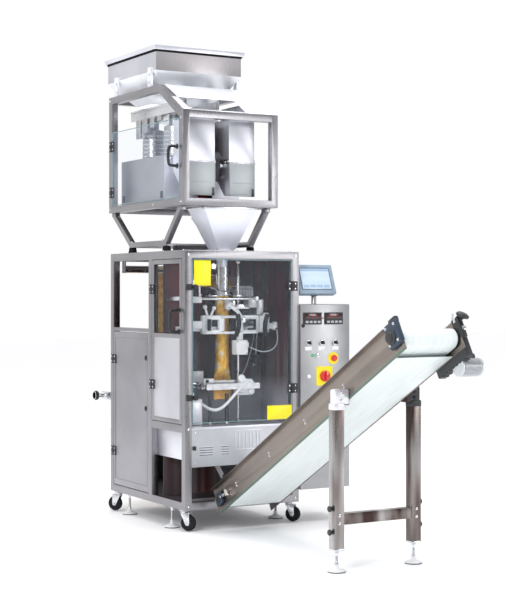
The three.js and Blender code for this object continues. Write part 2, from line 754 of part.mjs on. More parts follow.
// Two side-by-side trays in one pressing, with a divider.
function feederPan() {
  const half = panWidth / 2;
  const body = block(-half, half, panFront, panRear, panHeight, panHeight + panWall);
  const inside = [
    [-half + sheet, -sheet],
    [sheet, half - sheet],
  ].map(([x0, x1]) => block(x0, x1, panFront - 1, panRear - sheet, panHeight + sheet, panHeight + panWall + 1));
  return build([body], inside);
}
piece("feeder_pan", feederPan(), stainless);

// Drive box with the round vibrators that carry the pan.
function vibratorHousing() {
  const half = housingWidth / 2;
  const parts = [block(-half, half, housingFront, housingRear, weigherBottom + tubeSize, housingTop)];
  for (const side of [-1, 1]) {
    for (const y of [housingFront + 120, housingRear - 160]) {
      parts.push(bar("z", housingTop - 1, panHeight - 60, side * 110, y, 62, 24));
      parts.push(bar("z", panHeight - 61, panHeight, side * 110, y, 34, 20));
    }
  }
  const floor = weigherBottom + tubeSize;
  const inside = block(-half + sheet, half - sheet, housingFront + sheet, housingRear - sheet, floor - 1,
    housingTop - 4);
  return build(parts, [inside]);
}
piece("vibrator_housing", vibratorHousing(), stainless);

// A bucket hangs on the drive box; its lower front is left for the gate.
function weighBucket() {
  const half = bucketWidth / 2;
  const rear = bucketFront + bucketDepth;
  const lowRear = bucketFront + 60;
  const shape = [
    [bucketFront, bucketTop],
    [bucketFront, bucketBottom],
    [lowRear, bucketBottom],
    [rear, gateTop - 40],
    [rear, bucketTop],
  ];
  const body = sideProfile(shape, -half, half);
  const hollow = [
    [bucketFront - 1, bucketTop + 1],
    [bucketFront - 1, bucketBottom - 1],
    [lowRear - sheet, bucketBottom - 1],
    [rear - sheet, gateTop - 40],
    [rear - sheet, bucketTop + 1],
  ];
  const inside = sideProfile(hollow, -half + sheet, half - sheet);
  const front = block(-half, half, bucketFront, bucketFront + sheet, gateTop, bucketTop);
  const hanger = block(-30, 30, rear - sheet, housingFront, gateTop - 38, gateTop + 20);
  return [body, inside, front, hanger];
}
const bucketPlaces = [
  ["left", -bucketSpacing / 2],
  ["right", bucketSpacing / 2],
];
for (const [where, x] of bucketPlaces) {
  const [body, inside, front, hanger] = weighBucket();
  const shell = toGeometry(toSolid(body).subtract(toSolid(inside)).add(toSolid(front)).add(toSolid(hanger)));
  piece(`weigh_bucket_${where}`, shell, paleSheet).position.x = x;
  const half = bucketWidth / 2;
  const flap = block(-half, half, bucketFront - gateThick - touch, bucketFront - touch, bucketBottom - 6, gateTop);
  piece(`bucket_gate_${where}`, flap, stainless).position.x = x;
}

const sideGlassX = -weigherWidth / 2;
const sideGlass = block(sideGlassX, sideGlassX + glassThick, weigherFront + tubeSize + gap,
  weigherRear - tubeSize - gap, weigherBottom + tubeSize + gap, weigherFrontTop - tubeSize);
piece("weigher_side_door", sideGlass, clearPlastic);

// ---------- conveyor ----------
// Drawn flat from its tail towards -Y with its lower edges at z = 0, then tilted.
const conveyor = new THREE.Group();
conveyor.position.set(conveyorX, conveyorTailY, conveyorTailZ);
conveyor.rotation.x = -conveyorTilt;
machine.add(conveyor);
const halfConveyor = conveyorWidth / 2;
const drumZ = sidePlateHeight / 2;
const tailDrumY = -drumRadius - 18;
const headDrumY = -conveyorLength + drumRadius + 14;

function conveyorFrame() {
  const parts = [];
  for (const side of [-1, 1]) {
    const outer = side * halfConveyor;
    const inner = side * (halfConveyor - sidePlateThick);
    parts.push(block(Math.min(outer, inner), Math.max(outer, inner), -conveyorLength, 0, 0, sidePlateHeight));
    const lip = side * (halfConveyor + sidePlateFlange);
    parts.push(block(Math.min(inner, lip), Math.max(inner, lip), -conveyorLength + 90, -10,
      sidePlateHeight - sidePlateThick, sidePlateHeight));
  }
  for (let y = -250; y > -conveyorLength + 200; y -= 380) {
    parts.push(block(-halfConveyor, halfConveyor, y - 20, y + 20, drumZ - 12, drumZ + 12));
  }
  const holes = [tailDrumY, headDrumY].map((y) => bar("x", -200, 200, y, drumZ, 10.3, 20));
  return build(parts, holes);
}
piece("conveyor_frame", conveyorFrame(), darkSteel, conveyor);

function drum() {
  const body = bar("x", -beltWidth / 2 - 4, beltWidth / 2 + 4, 0, 0, drumRadius, 32);
  return build([body, bar("x", -halfConveyor - 14, halfConveyor + 14, 0, 0, 10, 20)]);
}
const headDrum = piece("head_roller", drum(), brightSteel, conveyor);
headDrum.position.set(0, headDrumY, drumZ);
const tailDrum = piece("tail_roller", drum(), brightSteel, conveyor);
tailDrum.position.set(0, tailDrumY, drumZ);

// A closed loop round both drums.
function beltLoop() {
  const loop = (radius) => {
    const shape = new THREE.Shape();
    shape.moveTo(headDrumY, drumZ - radius);
    shape.lineTo(tailDrumY, drumZ - radius);
    shape.absarc(tailDrumY, drumZ, radius, -Math.PI / 2, Math.PI / 2, false);
    shape.lineTo(headDrumY, drumZ + radius);
    shape.absarc(headDrumY, drumZ, radius, Math.PI / 2, (3 * Math.PI) / 2, false);
    return shape;
  };
  const shape = loop(drumRadius + beltSlack + beltThick);
  shape.holes.push(loop(drumRadius + beltSlack));
  const solid = new THREE.ExtrudeGeometry(shape, { depth: beltWidth, bevelEnabled: false, curveSegments: 14 });
  return build([solid.rotateY(Math.PI / 2).rotateX(Math.PI / 2).translate(-beltWidth / 2, 0, 0)]);
}
piece("conveyor_belt", beltLoop(), beltWhite, conveyor);

// Long gear case on the right plate, driving the head shaft, with its motor under it.
function gearMotor() {
  const x0 = halfConveyor + touch;
  const box = block(x0, x0 + 46, headDrumY - 44, headDrumY + 190, -38, drumZ + 34);
  const shaftHole = bar("x", x0 - 1, x0 + 30, headDrumY, drumZ, 10.5, 20);
  const motor = bar("x", x0 + 8, x0 + 125, headDrumY + 44, -50, 42, 28);
  return build([box, motor], [shaftHole]);
}
piece("gear_motor", gearMotor(), castBlack, conveyor);

const legHalf = halfConveyor + conveyorLegTube / 2 + legGap;
function plateHeightAt(y) {
  return conveyorTailZ + (conveyorTailY - y) * Math.tan(conveyorTilt);
}
const footHeight = 96;
function conveyorStand() {
  const half = conveyorLegTube / 2;
  const top = plateHeightAt(conveyorLegY) - 13;
  const clampTop = top + 70;
  const parts = [];
  for (const side of [-1, 1]) {
    const x = side * legHalf;
    parts.push(block(x - half, x + half, conveyorLegY - half, conveyorLegY + half, footHeight, top));
    const near = side * (halfConveyor + touch);
    const far = side * (legHalf + half - 6);
    const [left, right] = [Math.min(near, far), Math.max(near, far)];
    parts.push(block(left, right, conveyorLegY - 22, conveyorLegY + 22, top - 1, clampTop));
  }
  parts.push(block(-legHalf, legHalf, conveyorLegY - half + 5, conveyorLegY + half - 5, crossbarHeight - 25,
    crossbarHeight + 25));
  return build(parts);
}
piece("conveyor_stand", conveyorStand(), stainless).position.x = conveyorX;
for (const [where, side] of [["left", -1], ["right", 1]]) {
  const screw = piece(`conveyor_foot_${where}`, foot(footHeight), brightSteel);
  screw.position.set(conveyorX + side * legHalf, conveyorLegY, 0);
}

// ---------- footprint centred on the origin, floor at zero ----------
machine.updateMatrixWorld(true);
const extent = new THREE.Box3().setFromObject(machine, true);
const middle = extent.getCenter(new THREE.Vector3());
machine.position.set(-middle.x, -middle.y, -extent.min.z);

export default machine;
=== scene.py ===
import json
import math

import bpy
from mathutils import Matrix, Vector

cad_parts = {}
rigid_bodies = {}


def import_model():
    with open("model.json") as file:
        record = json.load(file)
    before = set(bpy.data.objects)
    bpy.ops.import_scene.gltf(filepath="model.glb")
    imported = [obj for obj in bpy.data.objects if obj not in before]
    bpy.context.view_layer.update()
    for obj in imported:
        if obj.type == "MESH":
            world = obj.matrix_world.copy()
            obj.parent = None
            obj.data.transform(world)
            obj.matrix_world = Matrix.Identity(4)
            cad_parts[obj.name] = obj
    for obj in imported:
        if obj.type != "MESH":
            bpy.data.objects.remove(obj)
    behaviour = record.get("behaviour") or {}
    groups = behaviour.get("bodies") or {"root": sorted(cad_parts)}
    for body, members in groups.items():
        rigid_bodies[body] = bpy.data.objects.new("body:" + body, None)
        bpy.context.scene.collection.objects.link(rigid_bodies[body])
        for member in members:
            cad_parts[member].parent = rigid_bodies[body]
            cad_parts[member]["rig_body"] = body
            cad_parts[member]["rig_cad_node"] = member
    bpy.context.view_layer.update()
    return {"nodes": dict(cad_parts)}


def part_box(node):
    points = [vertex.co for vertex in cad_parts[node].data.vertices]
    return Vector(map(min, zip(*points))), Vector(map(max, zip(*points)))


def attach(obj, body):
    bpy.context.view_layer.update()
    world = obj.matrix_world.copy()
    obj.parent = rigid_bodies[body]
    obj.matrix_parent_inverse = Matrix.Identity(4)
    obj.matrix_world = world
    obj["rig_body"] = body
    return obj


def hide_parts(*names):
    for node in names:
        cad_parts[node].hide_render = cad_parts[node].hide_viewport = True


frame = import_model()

MM = 0.001
X, Y, Z = Vector((1, 0, 0)), Vector((0, 1, 0)), Vector((0, 0, 1))
cabinet_low, cabinet_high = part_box("cabinet_frame")
cabinet_mid = (cabinet_low + cabinet_high) / 2


# ---------- camera, lights and floor ----------
def make_camera():
    """Stands off the front left corner at eye height and looks level."""
    to_left, to_front, eye_height = 3.804, 6.684, 1.251
    turn_to_right = math.radians(30.02)
    place = Vector((cabinet_mid.x - to_left, cabinet_low.y - to_front, eye_height))
    turn = (math.radians(90), 0, -turn_to_right)
    bpy.ops.object.camera_add(location=place, rotation=turn)
    camera = bpy.context.object
    camera.data.lens = 85.97
    camera.data.sensor_width = 36
    camera.data.shift_y = -0.0092
    camera.data.clip_end = 100
    bpy.context.scene.camera = camera


def make_floor():
    """A plain pale floor, a hair below the feet."""
    bpy.ops.mesh.primitive_plane_add(size=60, location=(0, 0, -0.0005))
    floor = bpy.context.object
    floor.name = "studio_floor"
    material = bpy.data.materials.new("pale_floor")
    material.use_nodes = True
    shader = material.node_tree.nodes["Principled BSDF"]
    shader.inputs["Base Color"].default_value = (0.93, 0.93, 0.94, 1)
    shader.inputs["Roughness"].default_value = 0.6
    floor.data.materials.append(material)


def soft_light(name, place, target, size, power):
    """A square area light that faces its target."""
    bpy.ops.object.light_add(type="AREA", location=place)
    light = bpy.context.object
    light.name = name
    light.data.size = size
    light.data.energy = power
    light.rotation_euler = (Vector(place) - Vector(target)).to_track_quat("Z", "Y").to_euler()


def make_light():
    """Three softboxes, a soft overhead glow and a sky that is darker low down."""
    middle = Vector((0, 0, 1.2))
    soft_light("key_softbox", (-6.0, -4.0, 4.2), middle, 2.6, 300)
    soft_light("fill_softbox", (4.5, -6.5, 2.6), middle, 2.4, 120)
    soft_light("top_softbox", (0.0, 0.4, 6.5), middle, 3.6, 150)
    bpy.ops.object.light_add(type="SUN", location=(0, 0, 8))
    overhead = bpy.context.object
    overhead.name = "overhead_glow"
    overhead.data.energy = 1.0
    overhead.data.angle = 1.2
    world = bpy.data.worlds.new("studio")
    world.use_nodes = True
    tree = world.node_tree
    sky = tree.nodes["Background"]
    sky.inputs["Strength"].default_value = 1.0
    coords = tree.nodes.new("ShaderNodeTexCoord")
    split = tree.nodes.new("ShaderNodeSeparateXYZ")
    ramp = tree.nodes.new("ShaderNodeValToRGB")
    ramp.color_ramp.elements[0].position = 0.0
    ramp.color_ramp.elements[0].color = (0.3, 0.3, 0.32, 1)
    ramp.color_ramp.elements[1].position = 0.6
    ramp.color_ramp.elements[1].color = (1, 1, 1, 1)
    middle_stop = ramp.color_ramp.elements.new(0.38)
    middle_stop.color = (0.52, 0.52, 0.55, 1)
    shift = tree.nodes.new("ShaderNodeMath")
    shift.operation = "MULTIPLY_ADD"
    shift.inputs[1].default_value = 0.5
    shift.inputs[2].default_value = 0.5
    tree.links.new(coords.outputs["Generated"], split.inputs[0])
    tree.links.new(split.outputs["Y"], shift.inputs[0])
    tree.links.new(shift.outputs[0], ramp.inputs["Fac"])
    tree.links.new(ramp.outputs["Color"], sky.inputs["Color"])
    bpy.context.scene.world = world
    bpy.context.scene.view_settings.view_transform = "Standard"


# ---------- materials ----------
def new_material(name, color, roughness, metallic=0.0):
    material = bpy.data.materials.new(name)
    material.use_nodes = True
    shader = material.node_tree.nodes["Principled BSDF"]
    shader.inputs["Base Color"].default_value = (*color, 1)
    shader.inputs["Roughness"].default_value = roughness
    shader.inputs["Metallic"].default_value = metallic
    return material, material.node_tree, shader


def object_noise(tree, stretch, scale, detail=4.0):
    """Noise over the piece's own coordinates, stretched along each axis."""
    coords = tree.nodes.new("ShaderNodeTexCoord")
    mapping = tree.nodes.new("ShaderNodeMapping")
    mapping.inputs["Scale"].default_value = stretch
    noise = tree.nodes.new("ShaderNodeTexNoise")
    noise.inputs["Scale"].default_value = scale
    noise.inputs["Detail"].default_value = detail
    tree.links.new(coords.outputs["Object"], mapping.inputs["Vector"])
    tree.links.new(mapping.outputs["Vector"], noise.inputs["Vector"])
    return noise.outputs["Fac"]


def spread(tree, source, low, high):
    """The source's middle range stretched between two values."""
    node = tree.nodes.new("ShaderNodeMapRange")
    node.inputs["From Min"].default_value = 0.3
    node.inputs["From Max"].default_value = 0.7
    node.inputs["To Min"].default_value = low
    node.inputs["To Max"].default_value = high
    tree.links.new(source, node.inputs["Value"])
    return node.outputs["Result"]


def two_tone(tree, source, dark, light):
    ramp = tree.nodes.new("ShaderNodeValToRGB")
    ramp.color_ramp.elements[0].position = 0.32
    ramp.color_ramp.elements[0].color = (*dark, 1)
    ramp.color_ramp.elements[1].position = 0.68
    ramp.color_ramp.elements[1].color = (*light, 1)
    tree.links.new(source, ramp.inputs["Fac"])
    return ramp.outputs["Color"]


def add_bump(tree, shader, source, strength, distance=0.0004):
    bump = tree.nodes.new("ShaderNodeBump")
    bump.inputs["Strength"].default_value = strength
    bump.inputs["Distance"].default_value = distance
    tree.links.new(source, bump.inputs["Height"])
    tree.links.new(bump.outputs["Normal"], shader.inputs["Normal"])


def shade(color, factor):
    return tuple(min(1.0, c * factor) for c in color)


def brushed(name, color, roughness, along="Z", grain=0.22, metallic=1.0):
    """Sheet metal with fine lines along one axis, and slow smudges in colour and gloss."""
    material, tree, shader = new_material(name, color, roughness, metallic)
    stretch = {"X": (2, 90, 90), "Y": (90, 2, 90), "Z": (90, 90, 2)}[along]
    lines = object_noise(tree, stretch, 12, 3)
    smudge = object_noise(tree, (1, 1, 1), 3.2, 5)
    tree.links.new(two_tone(tree, smudge, shade(color, 0.86), shade(color, 1.1)), shader.inputs["Base Color"])
    mix = tree.nodes.new("ShaderNodeMath")
    mix.operation = "ADD"
    tree.links.new(spread(tree, lines, roughness - 0.07, roughness + 0.07), mix.inputs[0])
    tree.links.new(spread(tree, smudge, -0.05, 0.07), mix.inputs[1])
    tree.links.new(mix.outputs[0], shader.inputs["Roughness"])
    add_bump(tree, shader, lines, grain)
    return material


def polished(name, color, roughness):
    """Turned or drawn bright metal with faint wear."""
    material, tree, shader = new_material(name, color, roughness, 1.0)
    wear = object_noise(tree, (1, 1, 1), 38, 6)
    tree.links.new(spread(tree, wear, roughness - 0.05, roughness + 0.12), shader.inputs["Roughness"])
    tree.links.new(two_tone(tree, wear, shade(color, 0.9), shade(color, 1.06)), shader.inputs["Base Color"])
    add_bump(tree, shader, wear, 0.06)
    return material


def moulded(name, color, roughness, pebble=0.12, scale=420, coat=0.0):
    """Plastic, rubber or paint: a fine skin texture and slightly uneven colour."""
    material, tree, shader = new_material(name, color, roughness)
    skin = object_noise(tree, (1, 1, 1), scale, 2)
    patch = object_noise(tree, (1, 1, 1), 14, 4)
    tree.links.new(two_tone(tree, patch, shade(color, 0.88), shade(color, 1.08)), shader.inputs["Base Color"])
    tree.links.new(spread(tree, patch, roughness - 0.05, roughness + 0.09), shader.inputs["Roughness"])
    add_bump(tree, shader, skin, pebble, 0.0003)
    shader.inputs["Coat Weight"].default_value = coat
    return material


def clear_sheet(name, color, alpha):
    """Clear acrylic: mostly see-through, with glossy faces and hair scratches."""
    material, tree, shader = new_material(name, color, 0.06)
    scratch = object_noise(tree, (3, 3, 60), 30, 5)
    tree.links.new(spread(tree, scratch, 0.03, 0.12), shader.inputs["Roughness"])
    add_bump(tree, shader, scratch, 0.04)
    shader.inputs["Alpha"].default_value = alpha
    shader.inputs["Specular IOR Level"].default_value = 0.25
    return material


def lit_screen(name, color, strength):
    """A display behind glass, a little brighter in the middle rows."""
    material, tree, shader = new_material(name, shade(color, 0.5), 0.12)
    rows = object_noise(tree, (1, 1, 6), 9, 1)
    tree.links.new(two_tone(tree, rows, shade(color, 0.86), color), shader.inputs["Emission Color"])
    shader.inputs["Emission Strength"].default_value = strength
    return material


def printed_film(name):
    """Gold film with a repeating plain pattern of pale and orange patches, and shine."""
    material, tree, shader = new_material(name, (0.8, 0.5, 0.09), 0.25, 0.35)
    coords = tree.nodes.new("ShaderNodeTexCoord")
    mapping = tree.nodes.new("ShaderNodeMapping")
    mapping.inputs["Scale"].default_value = (11, 11, 9)
    cells = tree.nodes.new("ShaderNodeTexVoronoi")
    cells.inputs["Scale"].default_value = 1.6
    ramp = tree.nodes.new("ShaderNodeValToRGB")
    ramp.color_ramp.elements[0].position = 0.18
    ramp.color_ramp.elements[0].color = (0.95, 0.76, 0.58, 1)
    ramp.color_ramp.elements[1].position = 0.3
    ramp.color_ramp.elements[1].color = (0.92, 0.60, 0.08, 1)
    orange = ramp.color_ramp.elements.new(0.62)
    orange.color = (0.80, 0.40, 0.04, 1)
    tree.links.new(coords.outputs["Object"], mapping.inputs["Vector"])
    tree.links.new(mapping.outputs["Vector"], cells.inputs["Vector"])
    tree.links.new(cells.outputs["Distance"], ramp.inputs["Fac"])
    tree.links.new(ramp.outputs["Color"], shader.inputs["Base Color"])
    crinkle = object_noise(tree, (1, 1, 0.5), 60, 6)
    add_bump(tree, shader, crinkle, 0.35, 0.002)
    tree.links.new(spread(tree, crinkle, 0.18, 0.38), shader.inputs["Roughness"])
    return material


def belt_fabric(name, color):
    """Smooth conveyor belt: fine woven print-through and faint running marks."""
    material, tree, shader = new_material(name, color, 0.5)
    coords = tree.nodes.new("ShaderNodeTexCoord")
    weave = tree.nodes.new("ShaderNodeTexWave")
    weave.inputs["Scale"].default_value = 260
    weave.inputs["Distortion"].default_value = 0.6
    tree.links.new(coords.outputs["Object"], weave.inputs["Vector"])
    marks = object_noise(tree, (14, 1, 1), 6, 5)
    tree.links.new(two_tone(tree, marks, shade(color, 0.93), shade(color, 1.04)), shader.inputs["Base Color"])
    tree.links.new(spread(tree, marks, 0.42, 0.58), shader.inputs["Roughness"])
    add_bump(tree, shader, weave.outputs["Fac"], 0.08)
    return material


def streak_ramp(tree, streaks, stops):
    ramp = tree.nodes.new("ShaderNodeValToRGB")
    ends = ramp.color_ramp.elements
    ends[0].position, ends[0].color = stops[0][0], (*stops[0][1], 1)
    ends[1].position, ends[1].color = stops[-1][0], (*stops[-1][1], 1)
    for position, color in stops[1:-1]:
        ends.new(position).color = (*color, 1)
    tree.links.new(streaks, ramp.inputs["Fac"])
    return ramp.outputs["Color"]


def painted_reflection_wall(name):
    """Polished dark sheet with painted reflections: tall red-brown and black streaks above and greyer bands below,
    painted into its colour as the reflections a mirror finish holds.
    """
    material, tree, shader = new_material(name, (0.08, 0.04, 0.04), 0.4)
    shader.inputs["Specular IOR Level"].default_value = 0.06
    streaks = object_noise(tree, (6, 6, 0.2), 1.0, 2)
    upper = streak_ramp(tree, streaks, [(0.36, (0.002, 0.002, 0.004)), (0.44, (0.075, 0.001, 0.002)),
                                        (0.51, (0.004, 0.002, 0.010)), (0.57, (0.055, 0.001, 0.003)),
                                        (0.66, (0.012, 0.009, 0.012))])
    lower = streak_ramp(tree, streaks, [(0.36, (0.03, 0.004, 0.005)), (0.46, (0.08, 0.066, 0.07)),
                                        (0.54, (0.05, 0.006, 0.007)), (0.62, (0.12, 0.108, 0.112))])
    coords = tree.nodes.new("ShaderNodeTexCoord")
    split = tree.nodes.new("ShaderNodeSeparateXYZ")
    tree.links.new(coords.outputs["Object"], split.inputs[0])
    height = tree.nodes.new("ShaderNodeMapRange")
    height.inputs["From Min"].default_value = 0.86
    height.inputs["From Max"].default_value = 1.12
    tree.links.new(split.outputs["Z"], height.inputs["Value"])
    blend = tree.nodes.new("ShaderNodeMix")
    blend.data_type = "RGBA"
    tree.links.new(height.outputs["Result"], blend.inputs["Factor"])
    tree.links.new(lower, blend.inputs["A"])
    tree.links.new(upper, blend.inputs["B"])
    # A paler grey band low on the sheet, between 0.50 m and 0.80 m: painted reflection too.
    foot = tree.nodes.new("ShaderNodeMapRange")
    foot.inputs["From Min"].default_value = 0.80
    foot.inputs["From Max"].default_value = 0.66
    tree.links.new(split.outputs["Z"], foot.inputs["Value"])
    paler = tree.nodes.new("ShaderNodeMix")
    paler.data_type = "RGBA"
    above_base = tree.nodes.new("ShaderNodeMapRange")
    above_base.inputs["From Min"].default_value = 0.50
    above_base.inputs["From Max"].default_value = 0.56
    tree.links.new(split.outputs["Z"], above_base.inputs["Value"])
    band = tree.nodes.new("ShaderNodeMath")
    band.operation = "MULTIPLY"
    tree.links.new(foot.outputs["Result"], band.inputs[0])
    tree.links.new(above_base.outputs["Result"], band.inputs[1])
    tree.links.new(band.outputs[0], paler.inputs["Factor"])
    tree.links.new(blend.outputs["Result"], paler.inputs["A"])
    paler.inputs["B"].default_value = (0.30, 0.30, 0.34, 1)
    tree.links.new(paler.outputs["Result"], shader.inputs["Base Color"])
    lines = object_noise(tree, (90, 90, 2), 12, 3)
    tree.links.new(spread(tree, lines, 0.2, 0.34), shader.inputs["Roughness"])
    add_bump(tree, shader, lines, 0.06)
    return material


def painted_reflection_tube(name):
    """Polished square tube with painted reflections: brown and black in long soft bands painted into its colour, with
    fine lines along it.
    """
    material, tree, shader = new_material(name, (0.2, 0.16, 0.15), 0.24, 0.9)
    bands = object_noise(tree, (6, 6, 1.1), 1.4, 2)
    color = streak_ramp(tree, bands, [(0.38, (0.05, 0.03, 0.027)), (0.47, (0.19, 0.165, 0.155)),
                                      (0.6, (0.42, 0.41, 0.41))])
    tree.links.new(color, shader.inputs["Base Color"])
    lines = object_noise(tree, (120, 120, 2), 10, 3)
    tree.links.new(spread(tree, lines, 0.18, 0.3), shader.inputs["Roughness"])
    add_bump(tree, shader, lines, 0.05)
    return material


STEEL = (0.31, 0.305, 0.32)
frame_steel = brushed("frame_steel", STEEL, 0.33, "Z")
rail_steel = brushed("rail_steel", STEEL, 0.33, "Y")
skin_steel = brushed("skin_steel", (0.35, 0.345, 0.37), 0.36, "Z")
cross_steel = brushed("cross_steel", (0.5, 0.5, 0.515), 0.34, "X")
dark_steel = painted_reflection_wall("dark_wall_steel")
plate_steel = brushed("conveyor_plate_steel", (0.27, 0.235, 0.21), 0.34, "Y")
pale_steel = brushed("pale_sheet_steel", (0.74, 0.75, 0.81), 0.4, "Z", 0.12, 0.85)
door_sheet = brushed("door_sheet_steel", (0.56, 0.565, 0.6), 0.38, "Z", 0.12, 0.9)
# Darker copy of the pale sheet for the table's front-facing faces: painted shade.
shaded_front_sheet = brushed("apron_front_shaded_steel", (0.56, 0.56, 0.6), 0.38, "X", 0.12, 0.9)
funnel_steel = brushed("funnel_steel", (0.78, 0.8, 0.88), 0.42, "Z", 0.08, 0.55)
bright_steel = polished("bright_steel", (0.72, 0.73, 0.75), 0.18)
cast_grey = moulded("cast_alloy", (0.62, 0.64, 0.66), 0.4, 0.3, 240)
cast_grey.node_tree.nodes["Principled BSDF"].inputs["Metallic"].default_value = 0.7
box_grey = brushed("control_box_steel", (0.40, 0.405, 0.415), 0.4, "Z", 0.1)
black_plastic = moulded("black_plastic", (0.018, 0.019, 0.022), 0.42)
black_rubber = moulded("black_rubber", (0.014, 0.014, 0.016), 0.75, 0.3, 300)
black_rubber.node_tree.nodes["Principled BSDF"].inputs["Specular IOR Level"].default_value = 0.15
white_plastic = moulded("white_plastic", (0.78, 0.8, 0.82), 0.35, 0.08)
yellow_plastic = moulded("yellow_plastic", (0.90, 0.75, 0.004), 0.4, 0.06)
red_plastic = moulded("red_plastic", (0.62, 0.02, 0.02), 0.3, 0.06, 420, 0.4)
blue_grey = moulded("panel_bezel", (0.27, 0.36, 0.45), 0.4, 0.08)
green_strip = moulded("green_edge", (0.06, 0.2, 0.15), 0.5, 0.1)
clear_acrylic = clear_sheet("clear_acrylic", (0.32, 0.37, 0.41), 0.06)
screen_glass = lit_screen("panel_screen", (0.62, 0.76, 0.9), 0.55)
digit_glow = lit_screen("digit_glow", (0.4, 0.02, 0.03), 0.3)
dark_display = moulded("display_window", (0.03, 0.01, 0.012), 0.15, 0.02, 200, 0.6)
gold_film = printed_film("printed_film")
white_belt = belt_fabric("belt_cover", (0.72, 0.78, 0.775))
pad_white = moulded("foot_pad_white", (0.72, 0.73, 0.74), 0.35, 0.1)
edge_glow = moulded("acrylic_edge", (0.2, 0.3, 0.33), 0.2, 0.03)
yellow_border = moulded("sign_face", (0.95, 0.83, 0.01), 0.35, 0.04)
hose_grey = moulded("hose_grey", (0.42, 0.44, 0.47), 0.45, 0.1)
timing_belt = moulded("timing_belt", (0.03, 0.03, 0.034), 0.6, 0.35, 260)
machine_paint = moulded("machine_paint", (0.80, 0.83, 0.87), 0.3, 0.06, 300, 0.3)
film_seam = moulded("film_seam", (0.62, 0.38, 0.07), 0.3, 0.1)
reel_face = moulded("reel_face", (0.42, 0.16, 0.05), 0.4, 0.2)
card_core = moulded("card_core", (0.38, 0.27, 0.17), 0.85, 0.3)
dark_band = moulded("dark_band", (0.09, 0.09, 0.1), 0.5, 0.1)
lamp_green = moulded("lamp_green", (0.08, 0.45, 0.2), 0.25, 0.04, 420, 0.3)
panel_dark = moulded("panel_dark", (0.1, 0.13, 0.17), 0.35, 0.06)
screen_band = lit_screen("screen_band", (0.42, 0.58, 0.78), 0.45)
# Darker tone of the hopper's sheet, for its front and other faces: painted shade.
hopper_shaded_steel = brushed("hopper_shaded_steel", (0.36, 0.345, 0.355), 0.34, "Z", 0.12)
bright_tray = brushed("tray_steel", (0.68, 0.69, 0.71), 0.28, "Y", 0.1)
drive_grey = brushed("drive_box_steel", (0.42, 0.43, 0.45), 0.38, "X", 0.1)
gate_steel = brushed("gate_steel", (0.52, 0.56, 0.57), 0.52, "Z", 0.08, 0.45)
stand_steel = painted_reflection_tube("stand_steel")
blue_acrylic = clear_sheet("blue_acrylic", (0.45, 0.55, 0.7), 0.08)
bearing_blue = moulded("bearing_blue", (0.02, 0.035, 0.06), 0.4, 0.25, 240)
gear_black = moulded("gear_case_black", (0.022, 0.024, 0.027), 0.45, 0.3, 200)
motor_alloy = moulded("motor_alloy", (0.66, 0.68, 0.70), 0.35, 0.25, 240)
motor_alloy.node_tree.nodes["Principled BSDF"].inputs["Metallic"].default_value = 0.75
# Lighter tone of the hopper's sheet, for its left-facing faces: painted light.
hopper_lit_side = brushed("hopper_side_steel", (0.60, 0.60, 0.65), 0.36, "Z", 0.12)
cover_white_and_hopper_highlight = brushed("cover_sheet", (0.86, 0.88, 0.93), 0.4, "X", 0.08, 0.55)
clamp_white = moulded("clamp_alloy", (0.74, 0.74, 0.78), 0.3, 0.2, 200, 0.2)
clamp_white.node_tree.nodes["Principled BSDF"].inputs["Metallic"].default_value = 0.5
label_plate = moulded("label_plate", (0.82, 0.83, 0.84), 0.3, 0.04)


# ---------- modelling helpers ----------
def clear_selection():
    if bpy.context.object and bpy.context.object.mode != "OBJECT":
        bpy.ops.object.mode_set(mode="OBJECT")
    bpy.ops.object.select_all(action="DESELECT")


def select_only(*objects):
    clear_selection()
    for item in objects:
        item.select_set(True)
    bpy.context.view_layer.objects.active = objects[0]


def settle(item):
    """Puts the object's place, turn and size into its mesh."""
    select_only(item)
    bpy.ops.object.transform_apply(location=True, rotation=True, scale=True)
    return item


def apply_modifier(item, kind, **settings):
    select_only(item)
    modifier = item.modifiers.new(kind.title(), kind)
    for key, value in settings.items():
        setattr(modifier, key, value)
    bpy.ops.object.modifier_apply(modifier=modifier.name)
    return item


def bevel(item, width, segments=2, angle=30):
    return apply_modifier(item, "BEVEL", width=width, segments=segments, limit_method="ANGLE",
                          angle_limit=math.radians(angle), use_clamp_overlap=True)


def paint(item, material):
    item.data.materials.clear()
    item.data.materials.append(material)
    return item


def slab(low, high, material, edge=1.5):
    """A block between two corners with rounded edges; edge is in millimetres."""
    low, high = Vector(low), Vector(high)
    clear_selection()
    bpy.ops.mesh.primitive_cube_add(size=1, location=(low + high) / 2)
    item = bpy.context.object
    item.scale = high - low
    settle(item)
    if edge:
        bevel(item, edge * MM)
    return paint(item, material)


def turned(start, direction, profile, material, sides=28, edge=0.6):
    """A turned piece: profile is (distance along, radius) in millimetres from the start point."""
    start, direction = Vector(start), Vector(direction).normalized()
    clear_selection()
    first, radius = profile[0]
    bpy.ops.mesh.primitive_circle_add(vertices=sides, radius=radius * MM, fill_type="NGON",
                                      location=(0, 0, first * MM))
    item = bpy.context.object
    settle(item)
    bpy.ops.object.mode_set(mode="EDIT")
    bpy.ops.mesh.select_all(action="SELECT")
    for along, wide in profile[1:]:
        bpy.ops.mesh.extrude_region_move(TRANSFORM_OT_translate={"value": (0, 0, (along - first) * MM)})
        if wide != radius:
            size = wide / radius
            bpy.ops.transform.resize(value=(size, size, 1), center_override=(0, 0, along * MM))
        first, radius = along, wide
    bpy.ops.mesh.select_all(action="SELECT")
    bpy.ops.mesh.normals_make_consistent(inside=False)
    bpy.ops.object.mode_set(mode="OBJECT")
    if edge:
        bevel(item, edge * MM, 2, 40)
    item.rotation_euler = direction.to_track_quat("Z", "Y").to_euler()
    item.location = start
    settle(item)
    return paint(item, material)


